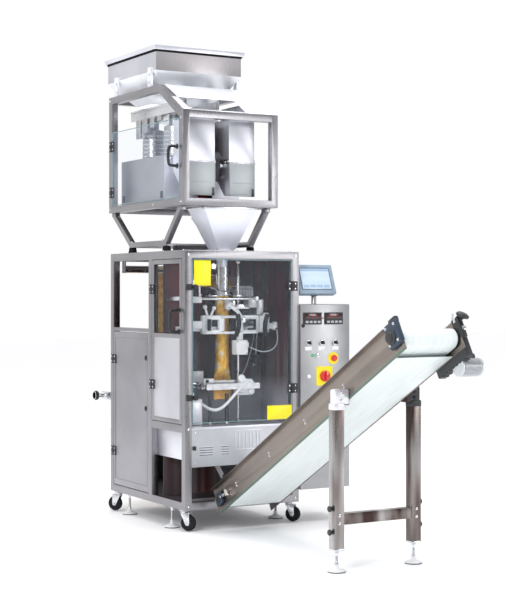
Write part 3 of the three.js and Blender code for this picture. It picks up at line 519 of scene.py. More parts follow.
def rod(start, end, radius, material, sides=24, edge=0.6):
    start, end = Vector(start), Vector(end)
    length = (end - start).length / MM
    return turned(start, end - start, [(0, radius), (length, radius)], material, sides, edge)


def hex_bolt(place, direction, size, material=None):
    """A domed bolt head on a washer; size is the head's radius in millimetres."""
    head = turned(place, direction, [(0, size * 1.35), (1.2, size * 1.35), (1.25, size), (size * 0.8, size),
                                     (size * 1.1, size * 0.6)], material or bright_steel, 12, 0.3)
    return head


def pipe_run(points, radius, material, resolution=10):
    """A round bar or hose through the points, radius in millimetres."""
    curve = bpy.data.curves.new("run", "CURVE")
    curve.dimensions = "3D"
    curve.bevel_depth = radius * MM
    curve.bevel_resolution = 3
    curve.use_fill_caps = True
    curve.resolution_u = resolution
    spline = curve.splines.new("NURBS")
    spline.points.add(len(points) - 1)
    for point, place in zip(spline.points, points):
        point.co = (*place, 1)
    spline.order_u = 3
    spline.use_endpoint_u = True
    item = bpy.data.objects.new("run", curve)
    bpy.context.scene.collection.objects.link(item)
    select_only(item)
    bpy.ops.object.convert(target="MESH")
    item = bpy.context.object
    return paint(item, material)


def piece(name, parts, body="machine", replaces=(), angle=35):
    """Joins the parts into one named piece that rides on a body."""
    select_only(*parts)
    if len(parts) > 1:
        bpy.ops.object.join()
    item = bpy.context.object
    item.name = name
    item.data.name = name
    settle(item)
    bpy.ops.object.shade_smooth_by_angle(angle=math.radians(angle))
    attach(item, body)
    if replaces:
        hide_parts(*replaces)
    return item


def softened(node, material, width=1.5, segments=2, body="machine", angle=30):
    """A copy of a CAD node, merged and with its edges rounded as folded or rolled metal is."""
    select_only(frame["nodes"][node])
    bpy.ops.object.duplicate()
    item = bpy.context.object
    item.parent = None
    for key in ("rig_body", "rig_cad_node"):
        if key in item:
            del item[key]
    bpy.ops.object.mode_set(mode="EDIT")
    bpy.ops.mesh.select_all(action="SELECT")
    bpy.ops.mesh.remove_doubles(threshold=0.00002)
    bpy.ops.mesh.dissolve_limited(angle_limit=math.radians(1))
    bpy.ops.object.mode_set(mode="OBJECT")
    bevel(item, width * MM, segments, angle)
    paint(item, material)
    return piece(node + "_body", [item], body, (node,))


def bow_handle(place, up, out, length, reach, radius, material=None):
    """A bent grip on two feet; place is its middle on the panel."""
    place, up, out = Vector(place), Vector(up), Vector(out)
    material = material or black_plastic
    half = up * length / 2
    run = [place - half, place - half + out * reach * 0.7, place - half * 0.86 + out * reach,
           place + half * 0.86 + out * reach, place + half + out * reach * 0.7, place + half]
    parts = [pipe_run(run, radius, material, 8)]
    for end in (-half, half):
        parts.append(turned(place + end, out, [(0, radius * 1.9), (3, radius * 1.9), (6, radius * 1.2)], material, 20))
    return parts


def spot(x, y, z):
    """A place from the cabinet's middle, its front and the floor, in millimetres."""
    return Vector((cabinet_mid.x, cabinet_low.y, 0)) + Vector((x, y, z)) * MM


def block(x0, x1, y0, y1, z0, z1, material, edge=1.5):
    return slab(spot(x0, y0, z0), spot(x1, y1, z1), material, edge)


def cut_plate(points, thickness, material, edge=0.8):
    """A flat plate cut to an outline; the points go round it, and thickness is in metres."""
    clear_selection()
    bpy.ops.mesh.primitive_circle_add(vertices=len(points), radius=0.01, fill_type="NGON")
    item = bpy.context.object
    for vertex, place in zip(item.data.vertices, points):
        vertex.co = place
    bpy.ops.object.mode_set(mode="EDIT")
    bpy.ops.mesh.select_all(action="SELECT")
    bpy.ops.mesh.extrude_region_move(TRANSFORM_OT_translate={"value": thickness})
    bpy.ops.mesh.select_all(action="SELECT")
    bpy.ops.mesh.normals_make_consistent(inside=False)
    bpy.ops.object.mode_set(mode="OBJECT")
    if edge:
        bevel(item, edge * MM)
    return paint(item, material)


def side_plate(points, x0, x1, material, edge=0.8):
    """A plate whose outline is seen from the side: points are (y, z) in millimetres."""
    places = [spot(x0, y, z) for y, z in points]
    return cut_plate(places, X * (x1 - x0) * MM, material, edge)


def turned_about(item, axis, angle, centre):
    """The item turned about a line through the centre."""
    centre = Vector(centre)
    item.matrix_world = Matrix.Translation(centre) @ Matrix.Rotation(angle, 4, axis) @ Matrix.Translation(-centre)
    return settle(item)


# ---------- CAD nodes that keep their shape ----------
def repaint(material, *nodes):
    for name in nodes:
        paint(frame["nodes"][name], material)


def keep_nodes():
    repaint(skin_steel, "deck_plate", "right_side_skin", "rear_skin")
    repaint(dark_steel, "mounting_wall")
    repaint(bright_steel, "forming_tube", "jaw_guide_rods", "guide_roller")
    repaint(cross_steel, "discharge_chute")
    repaint(white_belt, "conveyor_belt")
    repaint(bright_steel, "head_roller", "tail_roller")


# ---------- casters and screw feet ----------
caster_turn = math.radians(35)


def wheel_piece(where, hub, pivot):
    """Tyre, hub and bearing faces, turned about the axle."""
    half = 12
    tyre = turned(hub - X * half * MM, X, [(0, 26), (0.01, 38), (3, 41.4), (7, 42), (17, 42), (21, 41.4), (24, 38),
                                           (24.01, 26)], black_rubber, 40, 0.8)
    core = turned(hub - X * (half + 0.6) * MM, X, [(0, 8), (0.01, 15), (2, 25), (5, 27), (20, 27), (23, 25),
                                                   (25, 15), (25.01, 8)], black_plastic, 32, 0.6)
    caps = [turned(hub + X * side * (half + 0.5) * MM, X * side, [(0, 9), (1.6, 8)], bright_steel, 24, 0.3)
            for side in (-1, 1)]
    parts = [turned_about(item, Z, caster_turn, pivot) for item in (tyre, core, *caps)]
    return piece(f"caster_tyre_{where}", parts, f"caster_wheel_{where}_body", [f"caster_wheel_{where}"])


def fork_piece(where, pivot, hub, trail):
    """Pressed fork with its raceway, plate, four screws and a nutted axle."""
    top = cabinet_low.z
    plate = slab(pivot + Vector((-22 * MM, -22 * MM, top - 0.0045)), pivot + Vector((22 * MM, 22 * MM, top)),
                 bright_steel, 1.2)
    race = turned(pivot + Z * (top - 0.018), Z, [(0, 17), (5, 19.5), (8, 20), (11, 18), (13.6, 18)], bright_steel, 36)
    parts = [plate, race]
    crown = top - 0.0175
    wide = 16.5 * MM
    near, far = sorted((-15 * MM * (1 if trail > 0 else -1), trail + 0.011 * (1 if trail > 0 else -1)))
    low = Vector((pivot.x - wide, pivot.y + near, crown - 0.004))
    high = Vector((pivot.x + wide, pivot.y + far, crown + 0.001))
    parts.append(slab(low, high, bright_steel, 1.4))
    back = 1 if trail > 0 else -1
    for side in (-1, 1):
        x = pivot.x + side * wide - (0.0022 if side > 0 else 0)
        outline = [(-15 * back, crown), (trail / MM - 13 * back, hub.z - 0.004), (trail / MM - 8 * back, hub.z - 0.012),
                   (trail / MM + 8 * back, hub.z - 0.012), (trail / MM + 12 * back, hub.z),
                   (trail / MM + 11 * back, crown)]
        places = [Vector((x, pivot.y + y * MM, z)) for y, z in outline]
        parts.append(cut_plate(places, X * 0.0022, bright_steel, 0.5))
        parts.append(hex_bolt(hub + X * side * 16.4 * MM, X * side, 6.5))
    for dx in (-16, 16):
        for dy in (-16, 16):
            parts.append(hex_bolt(pivot + Vector((dx, dy, 0)) * MM + Z * (top - 0.0045), -Z, 3))
    parts = [turned_about(item, Z, caster_turn, pivot) for item in parts]
    return piece(f"caster_bracket_{where}", parts, f"caster_fork_{where}_body",
                 [f"caster_fork_{where}"])


def foot_piece(node, name):
    """Bell pad with a rubber sole, a threaded stem, a lock nut and a wrench flat."""
    low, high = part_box(node)
    base = Vector(((low.x + high.x) / 2, (low.y + high.y) / 2, low.z))
    tall = (high.z - low.z) / MM
    sole = turned(base, Z, [(0, 40), (0.5, 41), (4, 41)], black_rubber, 40, 0.5)
    bell = turned(base + Z * 0.004, Z, [(0, 41.5), (4, 41.2), (8, 34), (12, 21), (16, 14), (20, 11), (26, 10),
                                        (28, 8)], pad_white, 44, 0.5)
    ridges = []
    along = 28.0
    while along < tall - 24:
        ridges += [(along, 6.2), (along + 1.1, 7)]
        along += 2.2
    ridges += [(tall - 22, 7), (tall - 3, 7)]
    stem = turned(base, Z, ridges, bright_steel, 20, 0)
    nuts = [turned(base + Z * level * MM, Z, [(0, 12.4), (9, 12.4)], bright_steel, 6, 0.9)
            for level in (31, tall - 12)]
    return piece(name, [sole, bell, stem, *nuts], "machine", [node])


def make_feet():
    for where in ("front_left", "front_right", "rear_left", "rear_right"):
        wheel_low, wheel_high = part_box(f"caster_wheel_{where}")
        middle = (wheel_low + wheel_high) / 2
        trail = 0.026 if where.startswith("rear") else -0.026
        arm = Matrix.Rotation(caster_turn, 3, "Z") @ Vector((0, trail, 0))
        pivot = Vector((middle.x - arm.x, middle.y - arm.y, 0))
        hub = pivot + Vector((0, trail, middle.z))
        wheel_piece(where, hub, pivot)
        fork_piece(where, pivot, hub, trail)
        foot_piece(f"screw_foot_{where}", f"screw_foot_{where}_pad")
    for where in ("left", "right"):
        foot_piece(f"conveyor_foot_{where}", f"conveyor_foot_{where}_pad")


# ---------- cabinet ----------
def vent_slot(place, length, material=None):
    """One pressed louvre: a hood standing proud of a sheet that faces -Y."""
    low = Vector(place) - X * length / 2 * MM
    points = [low, low + Z * 0.006, low - Y * 0.003]
    return cut_plate([Vector(p) for p in points], X * length * MM, material or pale_steel, 0.3)


def make_cabinet():
    softened("cabinet_frame", frame_steel, 2.2, 3)
    half = 350
    screws = []
    for x in (-half + 20, half - 20):
        for z in (134, 540, 1462):
            screws.append(hex_bolt(spot(x, 0, z), -Y, 5))
    for y in (18, 240, 460, 700, 920):
        for z in (134, 1462):
            screws.append(hex_bolt(spot(half + 2, y, z), X, 4.5))
    for y in (60, 300, 620, 880):
        for x in (-half + 22, half - 22):
            screws.append(hex_bolt(spot(x, y, 1486), Z, 4.5))
    for x in (-300, 0, 300):
        for z in (134, 455):
            screws.append(hex_bolt(spot(x, 942, z), Y, 4.5))
    piece("cabinet_screws", screws, "machine")
    pan = block(-309, 309, 41, 899, 152, 154, skin_steel, 0.6)
    lips = [block(-309, 309, y, y + 2, 153, 168, skin_steel, 0.5) for y in (41, 896)]
    piece("floor_pan", [pan, *lips], "machine")
    slots = []
    for row in range(7):
        z = 200 + row * 34
        for x in (-165, 165):
            slots.append(cut_plate([spot(x - 120, 942, z), spot(x - 120, 942, z + 14), spot(x - 120, 950, z)],
                                   X * 0.24, skin_steel, 0.5))
    piece("rear_louvres", slots, "machine")


def make_table():
    """Folded table with its front apron: a turned lip, cooling louvres, stiffening ribs and a latch keeper."""
    table = softened("table_panel", pale_steel, 0.6, 1, "machine")
    # Front-facing faces of the folded sheet take the darker copy: painted shade on the apron front, the same sheet as
    # the pale top.
    table.data.materials.append(shaded_front_sheet)
    for face in table.data.polygons:
        if face.normal.y < -0.5:
            face.material_index = 1
    parts = [block(-309, 309, -3, 1, 538, 549, pale_steel, 1.6)]
    for row in range(4):
        parts.append(vent_slot(spot(-225, 0, 404 + row * 13), 84))
        parts.append(vent_slot(spot(-110, 0, 404 + row * 13), 50))
    for x in range(-50, 120, 22):
        parts.append(block(x, x + 5, -3, 1, 430, 512, pale_steel, 1.2))
    for z in (420, 520):
        parts.append(block(-52, 118, -2, 1, z, z + 4, pale_steel, 1))
    for x in (-290, 290):
        for z in (360, 520):
            parts.append(hex_bolt(spot(x, 0, z), -Y, 4))
    piece("apron_details", parts, "machine")
    shadow = []
    for row in range(4):
        for x, wide in ((-225, 78), (-110, 44)):
            shadow.append(block(x - wide / 2, x + wide / 2, -0.6, 0.3, 400.5 + row * 13, 403.5 + row * 13,
                                black_rubber, 0))
    shadow.append(block(-306, -288, -10, 1, 430, 452, black_plastic, 3))
    piece("apron_vents", shadow, "machine")
    side = [block(-312, -310, 41, 397, 372, 521, pale_steel, 0.6), block(-312, -300, 41, 397, 370, 373, pale_steel, 1),
            block(310, 312, 41, 397, 154, 521, skin_steel, 0.6)]
    piece("side_apron", side, "machine")
    liner = [block(307, 309.5, 41, 329, 552, 1441, dark_steel, 0.5),
             block(347, 349.5, 440, 898, 156, 1441, dark_steel, 0.5)]
    piece("right_side_liner", liner, "machine")


def make_front_door():
    """Clear acrylic leaf with dark polished edges, two hinges, a turn latch and two plain yellow plates."""
    low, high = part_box("front_door")
    pane = slab(low, high, clear_acrylic, 0.8)
    piece("front_door_pane", [pane], "front_door_body", ["front_door"])
    edge = []
    for x in (low.x, high.x - 0.004):
        edge.append(slab((x, low.y - 0.0002, low.z), (x + 0.004, high.y + 0.0002, high.z), edge_glow, 0.3))
    for z in (low.z, high.z - 0.004):
        edge.append(slab((low.x, low.y - 0.0002, z), (high.x, high.y + 0.0002, z + 0.004), edge_glow, 0.3))
    piece("front_door_edges", edge, "front_door_body")
    moving, fixed = [], []
    for z in (739, 1297):
        knuckle = spot(309, -5, z)
        moving.append(block(278, 306, -4, 0, z - 26, z + 26, black_plastic, 1.5))
        for dz in (-14, 14):
            moving.append(hex_bolt(spot(291, -4, z + dz), -Y, 3.4))
            fixed.append(hex_bolt(spot(327, -4, z + dz), -Y, 3.4))
        moving.append(rod(knuckle - Z * 0.012, knuckle + Z * 0.012, 6, black_plastic, 20))
        for level in (-0.0265, 0.0125):
            fixed.append(rod(knuckle + Z * level, knuckle + Z * (level + 0.014), 7, black_plastic, 20))
        fixed.append(block(315.5, 342, -4, 0.5, z - 26, z + 26, black_plastic, 1.5))
    for z in (1290, 706):
        moving.append(turned(spot(-296, 0, z), -Y, [(0, 14), (4, 14), (5, 8), (15, 8), (17, 13), (25, 13), (27, 9)],
                             black_plastic, 28))
        fixed.append(block(-342, -314, -11, 0.5, z - 16, z + 16, black_plastic, 3))
    piece("front_door_hinge_leaves", moving, "front_door_body")
    piece("front_door_hinge_plates", fixed, "machine")
    plates = [block(-298, -197, -1.6, 0, 1298, 1445 - 14, yellow_plastic, 0.8)]
    plates.append(block(-290, -205, -2.2, -1.4, 1306, 1424, yellow_border, 0.4))
    piece("front_door_sign", plates, "front_door_body")
    low_sign = [block(150, 306, -1.6, 0, 572, 648, yellow_plastic, 0.8),
                block(156, 300, -2.2, -1.4, 578, 642, yellow_border, 0.4)]
    piece("front_door_low_sign", low_sign, "front_door_body")


def make_front_side_door():
    """Folded leaf with a window above, a pane set in a black gasket, a grip and two hinges."""
    left, right = -350, -334
    front, rear = 43, 395
    bottom, top = 565, 1439
    rail = 1042
    steel = [block(left, right, front, front + 24, bottom, top, frame_steel, 1.4),
             block(left, right, rear - 24, rear, bottom, top, frame_steel, 1.4),
             block(left, right, front + 22, rear - 22, bottom, bottom + 24, rail_steel, 1.4),
             block(left, right, front + 22, rear - 22, top - 24, top, rail_steel, 1.4),
             block(left, right, front + 22, rear - 22, rail - 24, rail, rail_steel, 1.4),
             block(left + 1, left + 3, front + 20, rear - 20, bottom + 20, rail - 20, door_sheet, 0.4)]
    piece("front_side_door_leaf", steel, "front_side_door_body", ["front_side_door"])
    pane = block(left + 5, left + 9, front + 20, rear - 20, rail - 3, top - 20, clear_acrylic, 0.4)
    piece("front_side_door_window", [pane], "front_side_door_body")
    gasket = []
    for y in (front + 24, rear - 27):
        gasket.append(block(left + 3, left + 11, y, y + 3, rail, top - 24, black_rubber, 0.8))
    for z in (rail, top - 27):
        gasket.append(block(left + 3, left + 11, front + 24, rear - 24, z, z + 3, black_rubber, 0.8))
    piece("front_side_door_gasket", gasket, "front_side_door_body")
    grip = bow_handle(spot(left, 70, 1112), Z, -X, 0.115, 0.055, 8)
    piece("front_side_door_grip", grip, "front_side_door_body")
    side_hinges("front_side_door", rear, (760, 1280))


def hinge_pair(x, y, z, wide, half, mid, radius, screws):
    """One hinge on a left-hand face: the door's leaf and the post's plate, each with knuckles and screws."""
    inset, spread, size = screws
    knuckle = spot(x, y + 1.5, z)
    moving = [block(x, x + 4.5, y - wide, y, z - half, z + half, black_plastic, 1.4)]
    fixed = [block(x, x + 4.5, y + 3, y + 3 + wide, z - half, z + half, black_plastic, 1.4)]
    moving.append(rod(knuckle - Z * mid * MM, knuckle + Z * mid * MM, radius, black_plastic, 20))
    for level in (-half - 0.5, mid + 0.5):
        fixed.append(rod(knuckle + Z * level * MM, knuckle + Z * (level + half - mid) * MM, radius, black_plastic, 20))
    for dz in (-spread, spread):
        moving.append(hex_bolt(spot(x, y - inset, z + dz), -X, size))
        fixed.append(hex_bolt(spot(x, y + 3 + inset, z + dz), -X, size))
    return moving, fixed


def side_hinges(door, y, levels):
    """Hinge pairs on the left side: one leaf on the door and one on the post behind it."""
    moving, fixed = [], []
    for z in levels:
        leaf, plate = hinge_pair(-354, y, z, 28, 26, 12, 3.8, (16, 14, 3.4))
        moving += leaf
        fixed += plate
    piece(f"{door}_hinge_leaves", moving, f"{door}_body")
    piece(f"{door}_hinge_plates", fixed, "machine")


def make_rear_side_door():
    """Closed leaf with a pressed border and a quarter-turn lock."""
    softened("rear_side_door", skin_steel, 2.5, 3, "rear_side_door_body")
    border = []
    for y in (455, 875):
        border.append(block(-351.5, -349, y, y + 4, 190, 1006, frame_steel, 0.8))
    for z in (190, 1002):
        border.append(block(-351.5, -349, 455, 879, z, z + 4, frame_steel, 0.8))
    border.append(turned(spot(-350, 470, 620), -X, [(0, 15), (2.5, 15), (3.5, 12), (5, 12)], black_plastic, 28))
    border.append(block(-357, -354, 467, 473, 612, 628, black_plastic, 1))
    border.append(turned(spot(-350, 470, 900), -X, [(0, 15), (2.5, 15), (3.5, 12), (5, 12)], black_plastic, 28))
    border.append(block(-357, -354, 467, 473, 892, 908, black_plastic, 1))
    piece("rear_side_door_trim", border, "rear_side_door_body")
    side_hinges("rear_side_door", 897, (350, 880))


# ---------- bag maker ----------
tube_y = 235
corners = (45, 135, 225, 315)


def round_places(radius, angles):
    """Offsets on a circle, at angles in degrees."""
    for angle in angles:
        yield radius * math.cos(math.radians(angle)), radius * math.sin(math.radians(angle))


def ring_path(item_name, levels, material, sides=48):
    """An open tube skin: each level is (x centre, y centre, z, x radius, y radius) in millimetres."""
    clear_selection()
    bpy.ops.mesh.primitive_circle_add(vertices=sides, radius=1, fill_type="NOTHING")
    item = bpy.context.object
    item.name = item_name
    x, y, z, wide, deep = levels[0]
    item.scale = (wide * MM, deep * MM, 1)
    item.location = spot(x, y, z)
    settle(item)
    bpy.ops.object.mode_set(mode="EDIT")
    bpy.ops.mesh.select_all(action="SELECT")
    for next_x, next_y, next_z, next_wide, next_deep in levels[1:]:
        move = ((next_x - x) * MM, (next_y - y) * MM, (next_z - z) * MM)
        bpy.ops.mesh.extrude_region_move(TRANSFORM_OT_translate={"value": move})
        size = (next_wide / wide, next_deep / deep, 1)
        bpy.ops.transform.resize(value=size, center_override=spot(next_x, next_y, next_z))
        x, y, z, wide, deep = next_x, next_y, next_z, next_wide, next_deep
    bpy.ops.mesh.select_all(action="SELECT")
    bpy.ops.mesh.normals_make_consistent(inside=False)
    bpy.ops.object.mode_set(mode="OBJECT")
    return paint(item, material)


def make_collar():
    """Curved shoulder: a flared sheet that leans back, with a rolled lip and its bolted carrier."""
    wing = ring_path("shoulder", [(0, tube_y, 1242, 42, 42), (0, tube_y, 1262, 42, 42), (0, tube_y + 3, 1274, 47, 45),
                                  (0, tube_y + 8, 1284, 62, 55), (0, tube_y + 14, 1290, 84, 68),
                                  (0, tube_y + 19, 1290, 103, 74)], bright_steel)
    for vertex in wing.data.vertices:
        front = (spot(0, tube_y - 20, 0).y - vertex.co.y) / MM
        lift = (vertex.co.z / MM - 1266) / 24
        if front > 0 and lift > 0:
            vertex.co.z -= min(front, 40) * 0.75 * lift * MM
            vertex.co.y += min(front, 60) * 0.35 * min(1, lift) * MM
    apply_modifier(wing, "SOLIDIFY", thickness=0.002, offset=1)
    apply_modifier(wing, "SUBSURF", levels=2, render_levels=2)
    carrier = [block(-110, 110, 262, 330, 1240, 1246, bright_steel, 1),
               block(-110, -48, 186, 264, 1240, 1246, bright_steel, 1),
               block(48, 110, 186, 264, 1240, 1246, bright_steel, 1)]
    for x in (-92, 92):
        for y in (206, 308):
            carrier.append(hex_bolt(spot(x, y, 1246), Z, 6))
        carrier.append(turned(spot(x * 0.72, 300, 1246), Z, [(0, 4), (16, 4), (16.2, 9), (22, 9), (24, 7)],
                              black_plastic, 20))
    piece("collar_shoulder", [wing, *carrier], "machine", ["forming_collar"])


def make_film():
    """Film sleeve on the tube and its sagging pouch down to the seal."""
    levels = [(0, tube_y, 1262, 37.4, 37.4), (0, tube_y, 1180, 37.2, 37.2), (0, tube_y, 1090, 37.4, 37.4),
              (0, tube_y, 1000, 37.2, 37.2), (0, tube_y, 900, 37.4, 37.4), (0, tube_y, 862, 37.6, 36.5),
              (0, tube_y, 846, 39.5, 33), (0, tube_y, 825, 43, 25), (0, tube_y, 806, 48, 16),
              (0, tube_y, 792, 52, 8), (0, tube_y, 782, 55, 3), (0, tube_y, 774, 56, 1.6),
              (0, tube_y, 730, 56, 1.5), (0, tube_y, 718, 55, 1.8), (0, tube_y, 705, 54, 2.6),
              (0, tube_y, 690, 54, 1.8), (0, tube_y, 675, 55, 1.2)]
    bag = ring_path("film_sleeve", levels, gold_film, 64)
    select_only(bag)
    bpy.ops.object.mode_set(mode="EDIT")
    bpy.ops.mesh.select_all(action="SELECT")
    bpy.ops.mesh.subdivide(number_cuts=2, smoothness=0.6)
    bpy.ops.object.mode_set(mode="OBJECT")
    axis = spot(0, tube_y, 0)
    for vertex in bag.data.vertices:
        out = Vector((vertex.co.x - axis.x, vertex.co.y - axis.y, 0))
        level = vertex.co.z / MM
        around = math.atan2(out.y, out.x)
        ripple = math.sin(around * 7 + level * 0.05) * math.sin(level * 0.11 + around * 3)
        size = 0.25 if level > 870 else 1.5 if level > 785 else 0.35
        vertex.co += out.normalized() * ripple * size * MM if out.length > 0 else Vector()
        if level < 770:
            vertex.co.y += math.sin(level * 1.6) * 0.5 * MM
    apply_modifier(bag, "SOLIDIFY", thickness=0.0005, offset=-1)
    seam = block(-3.5, 3.5, tube_y - 38.6, tube_y - 37.2, 905, 1240, film_seam, 0.4)
    piece("film_sleeve", [bag, seam], "machine", ["film_bag"], 60)


def strip(points, half_width, thick, material):
    """A flat web that follows (y, z) points in millimetres, one sheet thick."""
    clear_selection()
    bpy.ops.mesh.primitive_plane_add(size=1)
    item = bpy.context.object
    mesh = item.data
    for vertex in mesh.vertices:
        side = 1 if vertex.co.x > 0 else -1
        first = vertex.co.y < 0
        place_y, place_z = points[0] if first else points[1]
        vertex.co = spot(side * half_width, place_y, place_z)
    bpy.ops.object.mode_set(mode="EDIT")
    bpy.ops.mesh.select_all(action="DESELECT")
    bpy.ops.object.mode_set(mode="OBJECT")
    end = spot(0, *points[1])
    for edge in mesh.edges:
        places = [mesh.vertices[i].co for i in edge.vertices]
        edge.select = all((p - Vector((p.x, end.y, end.z))).length < 1e-5 for p in places)
    for vertex in mesh.vertices:
        vertex.select = (vertex.co - Vector((vertex.co.x, end.y, end.z))).length < 1e-5
    bpy.ops.object.mode_set(mode="EDIT")
    for (y0, z0), (y1, z1) in zip(points[1:], points[2:]):
        move = (0, (y1 - y0) * MM, (z1 - z0) * MM)
        bpy.ops.mesh.extrude_region_move(TRANSFORM_OT_translate={"value": move})
    bpy.ops.object.mode_set(mode="OBJECT")
    apply_modifier(item, "SOLIDIFY", thickness=thick * MM, offset=0)
    return paint(item, material)


def arc(y, z, radius, start, end, steps):
    """Points on an arc in the (y, z) plane; angles are in degrees from +Y towards +Z."""
    places = []
    for step in range(steps + 1):
        angle = math.radians(start + (end - start) * step / steps)
        places.append((y + radius * math.cos(angle), z + radius * math.sin(angle)))
    return places


def make_web():
    """The flat web: off the reel, over the guide roller, through the wall's slot and onto the shoulder."""
    points = arc(1110, 655, 150.8, 20, 165, 14)
    points += [(905, 1180)]
    points += arc(850, 1395, 22.8, -22, 98, 8)
    points += [(600, 1366), (345, 1330), (318, 1316)]
    web = strip(points, 112, 0.5, gold_film)
    tip = strip([(318, 1316), (300, 1300), (286, 1292)], 100, 0.5, gold_film)
    piece("film_web", [web, tip], "machine", (), 60)


def make_reel():
    """Wound film with layered faces, a card core, and the holder's cones, collars and brake."""
    low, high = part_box("film_reel")
    centre = (low + high) / 2
    wide = (high.x - low.x) / MM
    start = Vector((low.x, centre.y, centre.z))
    roll = turned(start, X, [(0, 41), (0.01, 146), (1.5, 149.2), (wide - 1.5, 149.2), (wide - 0.01, 146), (wide, 41)],
                  gold_film, 96, 0.4)
    faces = []
    for side, x in ((-1, low.x), (1, high.x)):
        for radius in range(48, 146, 6):
            ridge = turned((x, centre.y, centre.z), X * side, [(0, radius), (0.5, radius), (0.6, radius - 1.2)],
                           reel_face, 64, 0)
            faces.append(ridge)
    core = turned(start - X * 0.004, X, [(0, 38.4), (0.01, 41.6), (wide + 8, 41.6), (wide + 8.01, 38.4)], card_core,
                  48, 0.3)
    piece("film_roll", [roll, *faces, core], "film_reel_body", ["film_reel"])
    softened("reel_holder", bright_steel, 1.2, 2, "machine")
    extra = []
    for x in (-322, 310):
        for z in (629, 681):
            extra.append(hex_bolt(spot(x - 5, 948, z), Y, 5))
        extra.append(hex_bolt(spot(x + 6, 1110, 640), Y, 4))
    for side in (-1, 1):
        x = side * (165 + 31)
        extra.append(turned(spot(x, 1110, 655), X * side, [(0, 26), (12, 26), (14, 22)], black_plastic, 28))
        extra.append(hex_bolt(spot(x + side * 6, 1110, 681), Z, 4))
    grip = turned(spot(-358, 1110, 655), -X, [(0, 26), (5, 28), (17, 28), (22, 24)], black_plastic, 10, 2.5)
    piece("reel_brake_knob", [grip, *extra], "machine")


def belt_loop(x, centre_y, z_low, z_high, radius, width):
    """A toothed belt round two pulleys, running down one side of the tube."""
    outer = radius + 4
    points = []
    for z, start, end in ((z_high, 0, 180), (z_low, 180, 360)):
        for step in range(15):
            angle = math.radians(start + (end - start) * step / 14)
            points.append((outer * math.cos(angle), z + outer * math.sin(angle)))
    places = [Vector((x * MM + cabinet_mid.x, cabinet_low.y + (centre_y - width / 2) * MM, 0)) +
              Vector((u, 0, v)) * MM for u, v in points]
    belt = cut_plate(places, Y * width * MM, timing_belt, 0.5)
    wheels = [turned(spot(x, centre_y - width / 2 - 2, z), Y, [(0, radius + 4.5), (1.6, radius + 4.5), (1.7, radius),
                                                              (width + 2.4, radius), (width + 2.5, radius + 4.5),
                                                              (width + 4, radius + 4.5)], bright_steel, 32, 0.3)
              for z in (z_low, z_high)]
    caps = [hex_bolt(spot(x, centre_y - width / 2 - 2, z), -Y, 7) for z in (z_low, z_high)]
    return [belt, *wheels, *caps]


def white_frame(x0, x1, y0, y1, z0, z1, bar):
    """A rounded white frame, open through its middle."""
    return [block(x0, x1, y0, y1, z1 - bar, z1, machine_paint, 9),
            block(x0, x1, y0, y1, z0, z0 + bar, machine_paint, 9),
            block(x0, x0 + bar * 1.3, y0, y1, z0 + 2, z1 - 2, machine_paint, 9),
            block(x1 - bar * 1.3, x1, y0, y1, z0 + 2, z1 - 2, machine_paint, 9)]


